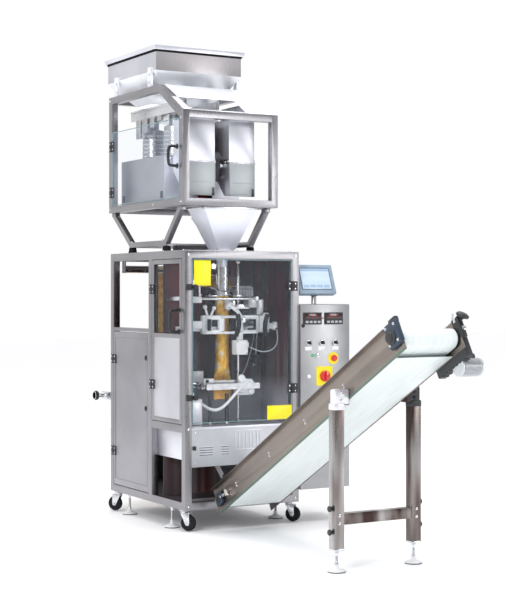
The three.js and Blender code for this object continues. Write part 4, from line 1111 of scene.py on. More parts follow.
def make_pulldown():
    """Two belt heads in white frames, with their drive box, gearbox, sensor box, levers and hand knobs."""
    low, high = 1036, 1138
    parts = [block(-250, -176, 128, 162, 1066, 1108, machine_paint, 5),
             block(-262, -240, 120, 168, 1072, 1116, white_plastic, 6),
             block(236, 286, 128, 160, 1062, 1094, machine_paint, 5),
             block(272, 290, 122, 166, 1054, 1100, white_plastic, 6)]
    parts += white_frame(-180, -42, 124, 158, low, high, 25)
    parts += white_frame(42, 176, 124, 158, low, high, 25)
    parts += [block(-48, 48, 128, 142, high - 16, high - 2, machine_paint, 3),
              block(-48, 48, 128, 142, low, low + 14, machine_paint, 3)]
    parts += [block(-240, -76, 155, 330, 1052, 1076, machine_paint, 2),
              block(76, 250, 155, 330, 1052, 1076, machine_paint, 2)]
    parts += [block(178, 238, 122, 330, 1042, 1150, machine_paint, 6),
              block(150, 236, 190, 330, 1148, 1198, panel_dark, 5)]
    for side in (-1, 1):
        near, far = sorted((side * 80, side * 99.5))
        parts.append(block(near, far, 200, 262, low, high, machine_paint, 2.5))
    parts += [block(24, 96, 112, 172, 922, 1002, white_plastic, 6),
              block(92, 108, 124, 160, 962, 990, white_plastic, 4),
              block(46, 74, 130, 156, 1000, 1040, machine_paint, 3)]
    for x, z in ((-170, 1128), (-52, 1128), (-170, 1045), (-52, 1045),
                 (52, 1128), (166, 1128), (52, 1045), (166, 1045)):
        parts.append(hex_bolt(spot(x, 128, z), -Y, 5))
    for x, z in ((186, 1052), (230, 1052), (186, 1140), (230, 1140)):
        parts.append(hex_bolt(spot(x, 122, z), -Y, 4.5))
    for x in (32, 88):
        for z in (930, 994):
            parts.append(hex_bolt(spot(x, 112, z), -Y, 3.6))
    parts += [block(96, 152, 108, 168, 1178, 1236, drive_grey, 6), block(150, 196, 112, 168, 1140, 1226, drive_grey, 6)]
    piece("pulldown_frames", parts, "machine", ["pulldown_unit"])
    belts = []
    for side in (-1, 1):
        belts += belt_loop(side * 59.6, 180, low + 16, high - 16, 12, 58)
    for x, lean in ((8, 14), (196, -10)):
        curve = [spot(x + lean * math.sin(step / 8 * math.pi) + 10 * step / 8, 92,
                      low - 10 + (high - low + 14) * step / 8) for step in range(9)]
        belts.append(pipe_run(curve, 13, black_rubber, 6))
    for step in range(3):
        belts.append(block(92 + step * 4, 136, 100, 114, 1058 + step * 24, 1068 + step * 24, black_rubber, 2))
    belts.append(block(128, 140, 100, 114, 1058, 1116, black_rubber, 2))
    belts.append(block(-154, -138, 104, 120, 1056, 1118, black_rubber, 3))
    piece("pulldown_belts", belts, "machine")
    knobs = []
    for x, lean, tall in ((-140, -24, 46), (-124, 22, 40)):
        base = spot(x, 140, 1130)
        top = base + Vector((math.sin(math.radians(lean)) * tall, -8, tall)) * MM
        knobs.append(rod(base, top, 6, white_plastic))
        knobs.append(turned(top, top - base, [(0, 8), (2, 11), (14, 11), (18, 7)], white_plastic, 24, 1.5))
    lever = [spot(70, 130, 1112), spot(44, 116, 1148), spot(4, 108, 1176), spot(-22, 106, 1192)]
    knobs.append(pipe_run(lever, 10, white_plastic, 8))
    knobs.append(turned(spot(-20, 106, 1190), Vector((-0.7, 0, 0.7)), [(0, 11), (3, 15), (14, 15), (18, 10)],
                        white_plastic, 28, 2))
    knobs.append(turned(spot(72, 130, 1112), -Y, [(0, 18), (10, 18), (13, 13)], bright_steel, 32))
    piece("pulldown_adjusters", knobs, "machine")
    make_loop_cable()


def make_loop_cable():
    """Grey sensor cable: it leaves the arm's end box, hangs in one loop and enters the sensor box."""
    start = spot(281, 120, 1062)
    route = [(281, 120, 1062), (281, 112, 1040), (279, 106, 1012), (272, 100, 984), (256, 98, 960), (232, 98, 945),
             (204, 100, 938), (176, 106, 938), (150, 116, 946), (130, 128, 956), (116, 138, 964), (107, 142, 970)]
    points = [spot(*place) for place in route]
    cable = smooth_tube("sensor_cable", points, 3.0)
    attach(cable[0], "machine")
    ends = [turned(start + Z * 0.004, -Z, [(0, 7), (8, 7), (9, 5), (18, 4)], black_plastic, 20),
            turned(spot(112, 140, 967), Vector((0.7, -0.3, -0.4)), [(0, 6), (8, 6), (12, 4.4)], black_plastic, 20)]
    piece("sensor_cable_glands", ends, "machine")


def smooth_tube(name, points, radius):
    """A round cable on a smooth curve through the points, and the points that it follows."""
    places = []
    count = len(points)
    for index in range(count - 1):
        before = points[max(index - 1, 0)]
        here, after = points[index], points[index + 1]
        beyond = points[min(index + 2, count - 1)]
        for step in range(3):
            t = step / 3
            places.append(0.5 * (2 * here + (after - before) * t + (2 * before - 5 * here + 4 * after - beyond) * t * t
                                 + (3 * here - before - 3 * after + beyond) * t ** 3))
    places.append(points[-1])
    curve = bpy.data.curves.new(name, "CURVE")
    curve.dimensions = "3D"
    curve.bevel_depth = radius * MM
    curve.bevel_resolution = 4
    curve.use_fill_caps = True
    spline = curve.splines.new("POLY")
    spline.points.add(len(places) - 1)
    for point, place in zip(spline.points, places):
        point.co = (*place, 1)
    item = bpy.data.objects.new(name, curve)
    bpy.context.scene.collection.objects.link(item)
    select_only(item)
    bpy.ops.object.convert(target="MESH")
    item = bpy.context.object
    paint(item, hose_grey)
    bpy.ops.object.shade_smooth_by_angle(angle=math.radians(60))
    return item, places


def make_rails():
    """Slide rods and drive lines round the bag maker, a sight bar, valves and the air unit."""
    parts = [rod(spot(-290, 110, 1228), spot(150, 110, 1228), 7, bright_steel)]
    for x in (-286, 146):
        parts.append(block(x - 10, x + 10, 100, 330, 1218, 1240, bright_steel, 2))
    parts.append(rod(spot(82, 200, 552), spot(82, 200, 1440), 6.5, bright_steel))
    for z in (552, 1424):
        parts.append(turned(spot(82, 200, z), Z, [(0, 13), (14, 13)], bright_steel, 24))
    parts.append(rod(spot(-206, 110, 1236), spot(-206, 110, 1440), 5, bright_steel))
    parts.append(block(-262, -196, 100, 130, 1206, 1240, machine_paint, 4))
    for x in (-136, -34):
        parts.append(rod(spot(x, 120, 568), spot(x, 120, 728 if x < -100 else 714), 11, black_plastic))
        parts.append(turned(spot(x, 120, 560), Z, [(0, 15), (14, 15), (16, 11)], black_plastic, 20))
        parts.append(turned(spot(x, 120, 550), Z, [(0, 11), (14, 11)], bright_steel, 20))
    piece("front_slide_rods", parts, "machine")
    valves = [block(-210, -170, 300, 330, 1195, 1240, machine_paint, 3),
              block(120, 220, 290, 330, 1225, 1300, machine_paint, 4),
              block(-160, -96, 270, 330, 770, 830, machine_paint, 3)]
    valves.append(block(-296, -196, 96, 160, 552, 690, label_plate, 5))
    valves.append(block(-286, -206, 90, 97, 566, 676, pale_steel, 2))
    valves.append(turned(spot(-250, 128, 690), Z, [(0, 22), (20, 22), (22, 18), (34, 18)], white_plastic, 28, 1))
    valves.append(pipe_run([spot(-200, 110, 668), spot(-168, 96, 640), spot(-120, 90, 626), spot(-74, 92, 640),
                            spot(-30, 96, 676), spot(16, 104, 716), spot(48, 110, 742)], 8, white_plastic, 8))
    for step in range(5):
        x = 134 + step * 18
        valves.append(block(x, x + 13, 270, 292, 1232, 1292, white_plastic, 1.5))
        valves.append(turned(spot(x + 6.5, 270, 1282), -Y, [(0, 4), (6, 4), (7, 3)], blue_grey, 16))
    valves.append(turned(spot(250, 300, 760), Z, [(0, 22), (60, 22), (64, 18), (66, 30), (96, 30), (100, 22)],
                         clear_acrylic, 28, 1))
    valves.append(turned(spot(250, 300, 862), Z, [(0, 30), (30, 30), (34, 24), (36, 16), (52, 16)], black_plastic,
                         28, 1.5))
    valves.append(block(236, 264, 300, 330, 850, 900, bright_steel, 2))
    piece("air_valves", valves, "machine")
    lines = [pipe_run([spot(250, 296, 914), spot(250, 286, 1000), spot(262, 292, 1110), spot(236, 296, 1222),
                       spot(206, 300, 1260)], 3.2, hose_grey),
             pipe_run([spot(146, 268, 1240), spot(150, 240, 1210), spot(220, 262, 1150), spot(246, 300, 1020),
                       spot(190, 306, 820), spot(140, 300, 765)], 3.0, hose_grey),
             pipe_run([spot(-128, 300, 830), spot(-132, 306, 920), spot(-190, 316, 1010), spot(-220, 316, 1120),
                       spot(-192, 312, 1200)], 3.0, black_plastic)]
    piece("air_lines", lines, "machine", (), 60)


def make_sealer():
    """Heated bar for the long seam in front of the tube, with its carrier, arm, cylinder and screws."""
    face = 182
    top = sealer_top()
    parts = [block(-9, 9, face - 17.5, face, 1161, top, bright_steel, 1.2),
             block(-24, 24, face - 46, face - 18, 1171, top - 10, machine_paint, 2),
             block(20, 119, face - 44, face - 28, 1173, 1196, bright_steel, 1.5),
             turned(spot(0, face - 45, 1204), -Y, [(0, 13), (24, 13), (25, 11), (34, 11)], bright_steel, 28)]
    for z in (1180, top - 20):
        parts.append(hex_bolt(spot(-16, face - 46, z), -Y, 3.6))
        parts.append(hex_bolt(spot(16, face - 46, z), -Y, 3.6))
    for step in range(6):
        z = 1165 + step * (top - 1170) / 6
        parts.append(block(-9.6, 9.6, face - 16, face - 4, z, z + 2, dark_band, 0.3))
    piece("sealer_bar", parts, "vertical_sealer_body", ["vertical_sealer"])


def sealer_top():
    """Height of the sealing bar's upper end, in millimetres."""
    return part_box("vertical_sealer")[1].z / MM


def make_jaws():
    """Crimping bars with ribbed faces, heater ends and blocks on the guide rods."""
    for node, facing in (("front_jaw", 1), ("rear_jaw", -1)):
        low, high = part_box(node)
        face_y = (high.y if facing > 0 else low.y)
        back_y = (low.y if facing > 0 else high.y)
        local = (face_y - cabinet_low.y) / MM
        back = (back_y - cabinet_low.y) / MM
        y0, y1 = sorted((local - facing * 2, back + facing * 12))
        parts = [block(-125, 125, y0, y1, 731, 773, pale_steel, 2)]
        for row in range(9):
            z = 734.5 + row * 4.2
            r0, r1 = sorted((local - facing * 2.4, local - facing * 0.3))
            parts.append(block(-124, 124, r0, r1, z, z + 2, bright_steel, 0.6))
        b0, b1 = sorted((back, back + facing * 29))
        for side in (-1, 1):
            x0, x1 = sorted((side * 128, side * 169))
            parts.append(block(x0, x1, b0, b1, 737, 767, bright_steel, 3))
            parts.append(hex_bolt(spot(side * 162, (b0 + b1) / 2, 767), Z, 5))
        parts.append(block(-128, 128, *sorted((back, back + facing * 11)), 737, 767, cross_steel, 2))
        for x in (-100, -50, 0, 50, 100):
            parts.append(hex_bolt(spot(x, back, 752), -Y * facing, 5.5))
        for side in (-1, 1):
            parts.append(rod(spot(side * 125, (y0 + y1) / 2, 752), spot(side * 132, (y0 + y1) / 2, 752), 7,
                             black_plastic))
        if facing > 0:
            for x, z, radius in ((62, 792, 22), (112, 766, 24), (60, 738, 26), (122, 722, 20)):
                parts.append(turned(spot(x, back - 20, z), -Y, [(0, radius), (12, radius), (16, radius - 5)],
                                    machine_paint, 32, 2))
            parts += [block(34, 128, back - 26, back + 12, 700, 756, label_plate, 6),
                      block(52, 100, back - 34, back + 4, 752, 792, machine_paint, 6),
                      turned(spot(118, back - 10, 728), X, [(0, 15), (18, 15), (20, 11), (30, 11)],
                             white_plastic, 28, 1),
                      block(-168, -104, back - 22, back + 10, 768, 796, machine_paint, 5),
                      turned(spot(-150, back - 22, 782), -Y, [(0, 9), (8, 9), (10, 6)], black_plastic, 24, 1),
                      block(-100, 30, back - 8, back + 12, 772, 784, label_plate, 3)]
        piece(f"{node}_bar", parts, f"{node}_body", [node])


# ---------- control box ----------
def make_control_box():
    """Box, hinged door, temperature controllers, rims of the switches and their plates."""
    softened("control_box", box_grey, 1.6, 2, "machine")
    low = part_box("control_door")[0]
    left, right = 352, 674
    leaf = block(left, right, -18, 0, 180, 1197, box_grey, 3)
    piece("control_door_leaf", [leaf], "control_door_body", ["control_door"])
    dark = []
    for z in (395, 1080):
        dark.append(turned(spot(left + 16, -18, z), -Y, [(0, 11), (3, 11), (4, 8.5), (5.4, 8.5)], black_plastic, 28))
        dark.append(block(left + 13, left + 19, -25.5, -22, z - 7, z + 7, black_plastic, 1))
    for x0 in (368, 508):
        dark.append(block(x0, x0 + 118, -26, -18, 1086, 1152, black_plastic, 3))
        dark.append(block(x0 + 8, x0 + 110, -27.6, -25, 1118, 1145, dark_display, 0.8))
        for step in range(4):
            dark.append(block(x0 + 12 + step * 26, x0 + 30 + step * 26, -28, -25, 1094, 1106, hose_grey, 1.2))
    piece("temperature_controllers", dark, "control_door_body")
    digits = []
    for x0 in (368, 508):
        for step in range(3):
            x = x0 + 22 + step * 24
            for z in (1122, 1131, 1140):
                digits.append(block(x, x + 11, -28.3, -27.4, z - 1, z + 1, digit_glow, 0.2))
            for dx in (0, 10):
                digits.append(block(x + dx, x + dx + 1.6, -28.3, -27.4, 1123, 1139, digit_glow, 0.2))
    digits.append(turned(spot(496, -18, 1120), -Y, [(0, 5), (3, 5), (5, 3)], red_plastic, 20, 0.5))
    piece("controller_digits", digits, "control_door_body")
    rims = []
    for name in ("selector_1", "selector_2", "selector_3"):
        mid = sum(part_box(name), Vector()) / 2
        place = Vector((mid.x, low.y, mid.z))
        rims.append(turned(place, -Y, [(0, 14.5), (2, 14.5), (3.2, 12.5), (3.3, 10.6)], bright_steel, 32))
        rims.append(slab(place + Vector((-0.023, -0.0014, -0.042)), place + Vector((0.023, 0, -0.022)), label_plate,
                         0.5))
    key = spot(460, -18, 916)
    rims.append(turned(key, -Y, [(0, 14), (2, 14), (3, 12), (9, 12), (10, 10)], bright_steel, 32))
    rims.append(slab(key + Vector((-0.0015, -0.0115, -0.006)), key + Vector((0.0015, -0.0095, 0.006)), black_plastic,
                     0.2))
    rims.append(turned(spot(432, -18, 916), -Y, [(0, 9), (5, 9), (8, 6)], lamp_green, 24, 0.8))
    rims.append(turned(spot(405, -18, 800), -Y, [(0, 11), (5, 11), (9, 8)], label_plate, 24, 0.8))
    piece("control_rims", rims, "control_door_body")
    plates = [block(454, 560, -20, -18, 748, 854, yellow_plastic, 2.5)]
    stop = sum(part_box("stop_button"), Vector()) / 2
    ring = turned((stop.x, low.y, stop.z), -Y, [(0, 34), (1.6, 34), (2.4, 32)], yellow_plastic, 48)
    plates.append(ring)
    piece("switch_plates", plates, "control_door_body")
    hinges = []
    for z in (300, 1080):
        hinges.append(rod(spot(674, 2, z - 30), spot(674, 2, z + 30), 6, bright_steel))
    piece("control_door_hinges", hinges, "machine")
    make_controls()


def make_controls():
    """Mushroom head, rotary handle and the three short-handled selectors."""
    low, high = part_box("stop_button")
    mid = (low + high) / 2
    head = turned((mid.x, high.y - 0.0142, mid.z), -Y, [(0, 9), (0.01, 12), (4, 17), (9, 18.2), (14, 17), (17.5, 12),
                                                        (19, 6)], red_plastic, 40, 0.8)
    stem = turned((mid.x, high.y, mid.z), -Y, [(0, 8.8), (14.5, 8.8)], bright_steel, 24)
    piece("stop_button_head", [head, stem], "stop_button_body", ["stop_button"])
    low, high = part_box("main_switch")
    mid = (low + high) / 2
    base = turned((mid.x, high.y, mid.z), -Y, [(0, 29), (3, 30), (16, 30), (20, 27), (22, 26)], red_plastic, 48, 0.8)
    bar = slab((mid.x - 0.0085, low.y, mid.z - 0.027), (mid.x + 0.0085, high.y - 0.02, mid.z + 0.027), red_plastic, 4)
    mark = slab((mid.x - 0.0015, low.y - 0.0004, mid.z + 0.008), (mid.x + 0.0015, low.y + 0.001, mid.z + 0.024),
                label_plate, 0.2)
    piece("main_switch_handle", [base, bar, mark], "main_switch_body", ["main_switch"])
    for name in ("selector_1", "selector_2", "selector_3"):
        low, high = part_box(name)
        mid = (low + high) / 2
        disc = turned((mid.x, high.y, mid.z), -Y, [(0, 10), (10, 10), (13, 8.6)], black_plastic, 36, 0.6)
        grip = slab((mid.x - 0.0035, low.y, mid.z - 0.0095), (mid.x + 0.0035, high.y - 0.01, mid.z + 0.0095),
                    black_plastic, 1.6)
        line = slab((mid.x - 0.0007, low.y - 0.0003, mid.z + 0.002), (mid.x + 0.0007, low.y + 0.001, mid.z + 0.0085),
                    label_plate, 0.1)
        piece(f"{name}_handle", [disc, grip, line], f"{name}_body", [name])


def make_operator_panel():
    """Bezel with rounded corners round a recessed screen, leaning back on its swivel post."""
    low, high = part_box("operator_panel")
    half = (high.x - low.x) / 2 / MM
    place = Vector(((low.x + high.x) / 2, spot(0, 60, 0).y, 1.33))

    def at(x0, x1, y0, y1, z0, z1, material, edge):
        return slab(place + Vector((x0, y0, z0)) * MM, place + Vector((x1, y1, z1)) * MM, material, edge)
    back = at(-half, half, -12, 20, -86, 86, blue_grey, 5)
    face = at(-half, half, -20, -10, -86, 86, blue_grey, 4)
    groove = at(-half + 2, half - 2, -12, -9, -84, 84, black_plastic, 1)
    frame_edge = at(-half + 22, half - 22, -21, -18, -64, 68, panel_dark, 2)
    screen = at(-half + 28, half - 28, -21.6, -19, -58, 62, screen_glass, 0.8)
    bands = [at(-half + 28, half - 28, -22, -20, 46, 62, screen_band, 0.4)]
    for step in range(4):
        x = -half + 34 + step * (2 * half - 68) / 4
        bands.append(at(x, x + (2 * half - 68) / 4 - 6, -22, -20, -52, -34, screen_band, 0.6))
    lean = [turned_about(item, X, math.radians(-20), place)
            for item in (back, face, groove, frame_edge, screen, *bands)]
    neck = turned((place.x, place.y, low.z), Z, [(0, 20), (6, 20), (9, 17), (24, 17)], black_plastic, 32)
    piece("operator_panel_case", [*lean, neck], "operator_panel_body", ["operator_panel"])


# ---------- weigher ----------
def make_weigher_frames():
    """Stand, sloping frame with its covers, rubber buffers, bolts and the cable duct."""
    softened("weigher_stand", frame_steel, 1.8, 2)
    softened("weigher_frame", frame_steel, 2.2, 3)
    parts = []
    for x in (-265, 265):
        for y in (385, 822):
            parts.append(turned(spot(x, y, 1486), Z, [(0, 24), (8, 25), (20, 22), (30, 22), (34, 18)], black_rubber,
                                28, 1))
    piece("stand_buffers", parts, "machine")
    bolts = []
    for side in (-1, 1):
        for y, z in ((150, 1750), (1065, 1750), (150, 2200), (1065, 2390), (490, 1750)):
            bolts.append(hex_bolt(spot(side * 296, y, z), X * side, 5))
        bolts.append(hex_bolt(spot(side * 280, 400, 1550), X * side, 5))
        bolts.append(hex_bolt(spot(side * 280, 800, 1550), X * side, 5))
    piece("weigher_bolts", bolts, "machine")
    upper = [(270, 2326), (432, 2413), (470, 2413), (470, 2416), (431, 2416), (269, 2329)]
    lower = [(130, 2244), (272, 2326), (271, 2329), (129, 2247)]
    covers = [side_plate(upper, -254, 292, cover_white_and_hopper_highlight, 1), side_plate(lower, 96, 292, cover_white_and_hopper_highlight, 1),
              block(-254, 96, 132, 146, 2243, 2249, cover_white_and_hopper_highlight, 1),
              side_plate([(130, 2244), (272, 2326), (271, 2329), (129, 2247)], -292, -254, cover_white_and_hopper_highlight, 1)]
    piece("weigher_covers", covers, "machine")
    duct = [block(-120, 210, 560, 600, 1486, 1530, black_plastic, 4)]
    for x in range(-110, 205, 14):
        duct.append(block(x, x + 7, 558, 602, 1490, 1528, dark_band, 1))
    piece("deck_cable_duct", duct, "machine")


def make_hopper():
    """Feed hopper: folded rim, straight box, sloping band and throat, with its gate."""
    hopper = softened("feed_hopper", hopper_shaded_steel, 1.6, 2, "machine")
    # The hopper is one steel sheet painted in three tones by face: faces below 2504 mm and above 2624 mm take the
    # bright white sheet as painted highlight, left-facing faces take the lighter tone as painted light, and the rest
    # keep the darker tone as painted shade.
    hopper.data.materials.append(cover_white_and_hopper_highlight)
    hopper.data.materials.append(hopper_lit_side)
    for face in hopper.data.polygons:
        level = face.center.z / MM
        if level < 2504 or level > 2624:
            face.material_index = 1
        elif face.normal.x < -0.7:
            face.material_index = 2
    parts = [block(-287, 287, 488, 492, 2618, 2643, pale_steel, 1.5),
             block(-287, 287, 1161, 1165, 2618, 2643, pale_steel, 1.5),
             block(-288, -284, 489, 1164, 2618, 2643, pale_steel, 1.5),
             block(284, 288, 489, 1164, 2618, 2643, pale_steel, 1.5)]
    for side in (-1, 1):
        for y in (560, 1000):
            for z in (2440, 2485):
                parts.append(hex_bolt(spot(side * 285, y + 4, z), X * side, 5))
    parts.append(rod(spot(-220, 660, 2432), spot(-220, 560, 2398), 6, bright_steel))
    parts.append(rod(spot(220, 660, 2432), spot(220, 560, 2398), 6, bright_steel))
    piece("hopper_rim", parts, "machine")
    # A black strip just under the rim: painted shadow under the rim's lip, drawn as rubber.
    under = [block(-276, 276, 500, 503.6, 2608, 2622, black_rubber, 1),
             block(-276, 276, 1150, 1153.6, 2608, 2622, black_rubber, 1),
             block(-276, -272.4, 500, 1153, 2608, 2622, black_rubber, 1),
             block(272.4, 276, 500, 1153, 2608, 2622, black_rubber, 1)]
    piece("hopper_under_rim_shadow", under, "machine")


def make_feeder():
    """Vibrating tray with stepped lips and springs, on round drives with ribbed casings."""
    softened("feeder_pan", bright_tray, 0.8, 2)
    softened("vibrator_housing", drive_grey, 2.0, 3)
    parts = []
    for x in (-110, 110):
        for y in (590, 870):
            for step in range(6):
                z = 2048 + step * 24
                parts.append(turned(spot(x, y, z), Z, [(0, 62.2), (2, 64.5), (9, 64.5), (11, 62.2)],
                                    bright_steel, 40, 0.6))
            parts.append(turned(spot(x, y, 2204), Z, [(0, 60), (6, 52), (10, 40)], bright_steel, 40, 0.8))
            for dx, dy in round_places(48, corners):
                parts.append(hex_bolt(spot(x + dx, y + dy, 2205), Z, 4))
    for side in (-1, 1):
        for y in (500, 1000):
            parts.append(block(side * 240 - 1.5, side * 240 + 1.5, y - 16, y + 16, 1790, 1830, black_plastic, 1))
    for x in (-201, 201):
        parts.append(block(x - 3, x + 3, 270, 985, 2314, 2323, bright_steel, 1.5))
    piece("vibrator_casings", parts, "machine")
    steps = []
    for index in range(4):
        y = 560 + index * 90
        steps.append(block(-212, -198, y, y + 60, 2232 - index * 26, 2262, cross_steel, 2))
        steps.append(block(198, 212, y, y + 60, 2232 - index * 26, 2262, cross_steel, 2))
    piece("feeder_springs", steps, "machine")
    shade_box = [block(-238, 238, 466, 470.5, 1776, 2026, pale_steel, 1)]
    for x in (-200, 0, 200):
        for z in (1790, 2012):
            shade_box.append(hex_bolt(spot(x, 466, z), -Y, 4))
    # The dark blocks and black rows between the buckets, down to the black block below the rods, fill the dark gap
    # there: partly the gate levers, partly painted shade in the gap.
    shade_box.append(block(-44, 44, 428, 440, 1792, 2212, dark_steel, 3))
    shade_box.append(block(-44, 44, 438, 466.5, 1860, 2010, dark_band, 3))
    for index in range(5):
        z = 1876 + index * 24
        shade_box.append(block(-40, 40, 440, 457, z, z + 10, black_plastic, 2))
    shade_box.append(block(-26, 26, 300, 440, 1990, 2040, dark_band, 4))
    shade_box.append(rod(spot(-90, 350, 2015), spot(90, 350, 2015), 8, bright_steel))
    shade_box.append(rod(spot(-90, 330, 1905), spot(90, 330, 1905), 6, bright_steel))
    shade_box.append(block(-20, 20, 290, 330, 1880, 2000, black_plastic, 4))
    for side in (-1, 1):
        shade_box.append(turned(spot(side * 20, 310, 1965), X * side, [(0, 16), (14, 16), (16, 12), (22, 12)],
                                bright_steel, 24))
    piece("gate_drives_and_gap_shade", shade_box, "machine")


def make_buckets():
    """Folded weigh buckets with rolled top edges, and gates on pins with a closing spring."""
    for where in ("left", "right"):
        node = f"weigh_bucket_{where}"
        low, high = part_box(node)
        mid = (low.x + high.x) / 2
        softened(node, pale_steel, 1.2, 2, "machine")
        gate = f"bucket_gate_{where}"
        g_low, g_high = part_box(gate)
        y = (g_low.y - cabinet_low.y) / MM
        centre = (mid - cabinet_mid.x) / MM
        top = g_high.z / MM
        trim = []
        for side in (-1, 1):
            x = centre + side * 80
            trim.append(block(*sorted((x - side * 1, x + side * 2.5)), y + 6, y + 190, top + 232, top + 238,
                              pale_steel, 1))
            trim.append(block(*sorted((x, x + side * 3)), y + 4, y + 60, top - 8, top + 22, bright_steel, 1.2))
            trim.append(hex_bolt(spot(x + side * 3, y + 16, top + 8), X * side, 5))
            trim.append(hex_bolt(spot(x + side * 3, y + 46, top + 8), X * side, 4))
        trim.append(block(centre - 80, centre + 80, y + 1.5, y + 7, top + 231, top + 238, pale_steel, 1))
        trim.append(rod(spot(centre - 84, y + 2, top), spot(centre + 84, y + 2, top), 4, bright_steel))
        piece(f"bucket_trim_{where}", trim, "machine")
        door = [slab(g_low, g_high, gate_steel, 1.2)]
        for side in (-1, 1):
            x0, x1 = sorted((centre + side * 80, centre + side * 77))
            door.append(block(x0, x1, y - 2, y + 3, 1796, top - 2, gate_steel, 0.8))
        door.append(block(centre - 60, centre + 60, y - 2.4, y + 1, 1806, 1812, gate_steel, 1))
        door.append(block(centre - 60, centre + 60, y - 2.4, y + 1, 1866, 1870, gate_steel, 1))
        piece(f"bucket_flap_{where}", door, f"{gate}_body", [gate])
        coil = []
        for turn in range(60):
            angle = turn * 0.9
            coil.append(spot(centre + 66 + 4 * math.cos(angle), y - 6 + 4 * math.sin(angle), 1806 + turn * 0.55))
        spring = [pipe_run(coil, 1.0, black_plastic, 3),
                  hex_bolt(spot(centre + 66, y - 0.5, 1802), -Y, 5, black_plastic)]
        piece(f"gate_spring_{where}", spring, f"{gate}_body")


def make_weigher_door():
    """Clear blue door with bright edges, two hinges and a bow handle."""
    low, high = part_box("weigher_side_door")
    pane = slab(low, high, blue_acrylic, 0.8)
    rim = []
    for y in (low.y, high.y - 0.004):
        rim.append(slab((low.x - 0.0002, y, low.z), (high.x + 0.0002, y + 0.004, high.z), edge_glow, 0.3))
    for z in (low.z, high.z - 0.004):
        rim.append(slab((low.x - 0.0002, low.y, z), (high.x + 0.0002, high.y, z + 0.004), edge_glow, 0.3))
    piece("weigher_door_edges", rim, "weigher_side_door_body")
    piece("weigher_window", [pane], "weigher_side_door_body", ["weigher_side_door"])
    moving, fixed = [], []
    for z in (1850, 2120):
        leaf, plate = hinge_pair(-300, 1042, z, 32, 30, 14, 7, (18, 16, 3.6))
        moving += leaf
        fixed += plate
    moving += bow_handle(spot(-296, 196, 1996), Z, -X, 0.105, 0.055, 8)
    piece("weigher_door_leaves", moving, "weigher_side_door_body")
    piece("weigher_door_plates", fixed, "machine")


def make_funnel():
    """Product funnel with a folded rim, its neck ring, screws and two lugs."""
    softened("product_funnel", funnel_steel, 0.8, 2, "machine")
    parts = []
    for side in (-1, 1):
        x0, x1 = sorted((side * 163, side * 166.5))
        parts.append(block(x0, x1, 134, 336, 1716, 1729, bright_steel, 1))
    for y in (133, 334):
        parts.append(block(-166, 166, y, y + 3, 1716, 1729, bright_steel, 1))
    for dx, dy in round_places(88, range(30, 390, 60)):
        parts.append(hex_bolt(spot(dx, tube_y + dy, 1489), Z, 3.6))
    for side in (-1, 1):
        x0, x1 = sorted((side * 50, side * 96))
        parts.append(block(x0, x1, 225, 245, 1489, 1497, bright_steel, 2))
    piece("funnel_flange", [flange_ring(), *parts], "machine")


def flange_ring():
    """A flat ring round the funnel's neck, made by turning its cross-section round the axis."""
    clear_selection()
    bpy.ops.mesh.primitive_plane_add(size=1)
    item = bpy.context.object
    for vertex in item.data.vertices:
        radius = 0.094 if vertex.co.x > 0 else 0.082
        height = 1.490 if vertex.co.y > 0 else 1.486
        vertex.co = spot(0, 235, 0) + Vector((radius, 0, height))
    bpy.ops.object.mode_set(mode="EDIT")
    bpy.ops.mesh.select_all(action="SELECT")
    bpy.ops.mesh.spin(steps=56, angle=2 * math.pi, center=spot(0, 235, 0), axis=(0, 0, 1))
    bpy.ops.mesh.select_all(action="SELECT")
    bpy.ops.mesh.remove_doubles(threshold=0.00005)
    bpy.ops.mesh.normals_make_consistent(inside=False)
    bpy.ops.object.mode_set(mode="OBJECT")
    return paint(item, bright_steel)


# ---------- conveyor ----------
tilt = math.radians(29.3)
belt_x = -30
cap_screw = [(0, 7), (1.5, 7), (1.6, 5), (5, 5)]
tail = spot(belt_x, -80, 92)


def tilted(items):
    """Pieces laid out flat from the tail, turned up with the conveyor."""
    return [turned_about(item, X, -tilt, tail) for item in items]


def flat(x0, x1, y0, y1, z0, z1, material, edge=1.5):
    """A block on the conveyor before it is tilted, in millimetres from the plates' lower corner."""
    return slab(tail + Vector((x0, y0, z0)) * MM, tail + Vector((x1, y1, z1)) * MM, material, edge)


def flat_turned(x, y, z, direction, profile, material, sides=28, edge=0.6):
    """A turned piece on the conveyor before it is tilted."""
    return turned(tail + Vector((x, y, z)) * MM, direction, profile, material, sides, edge)


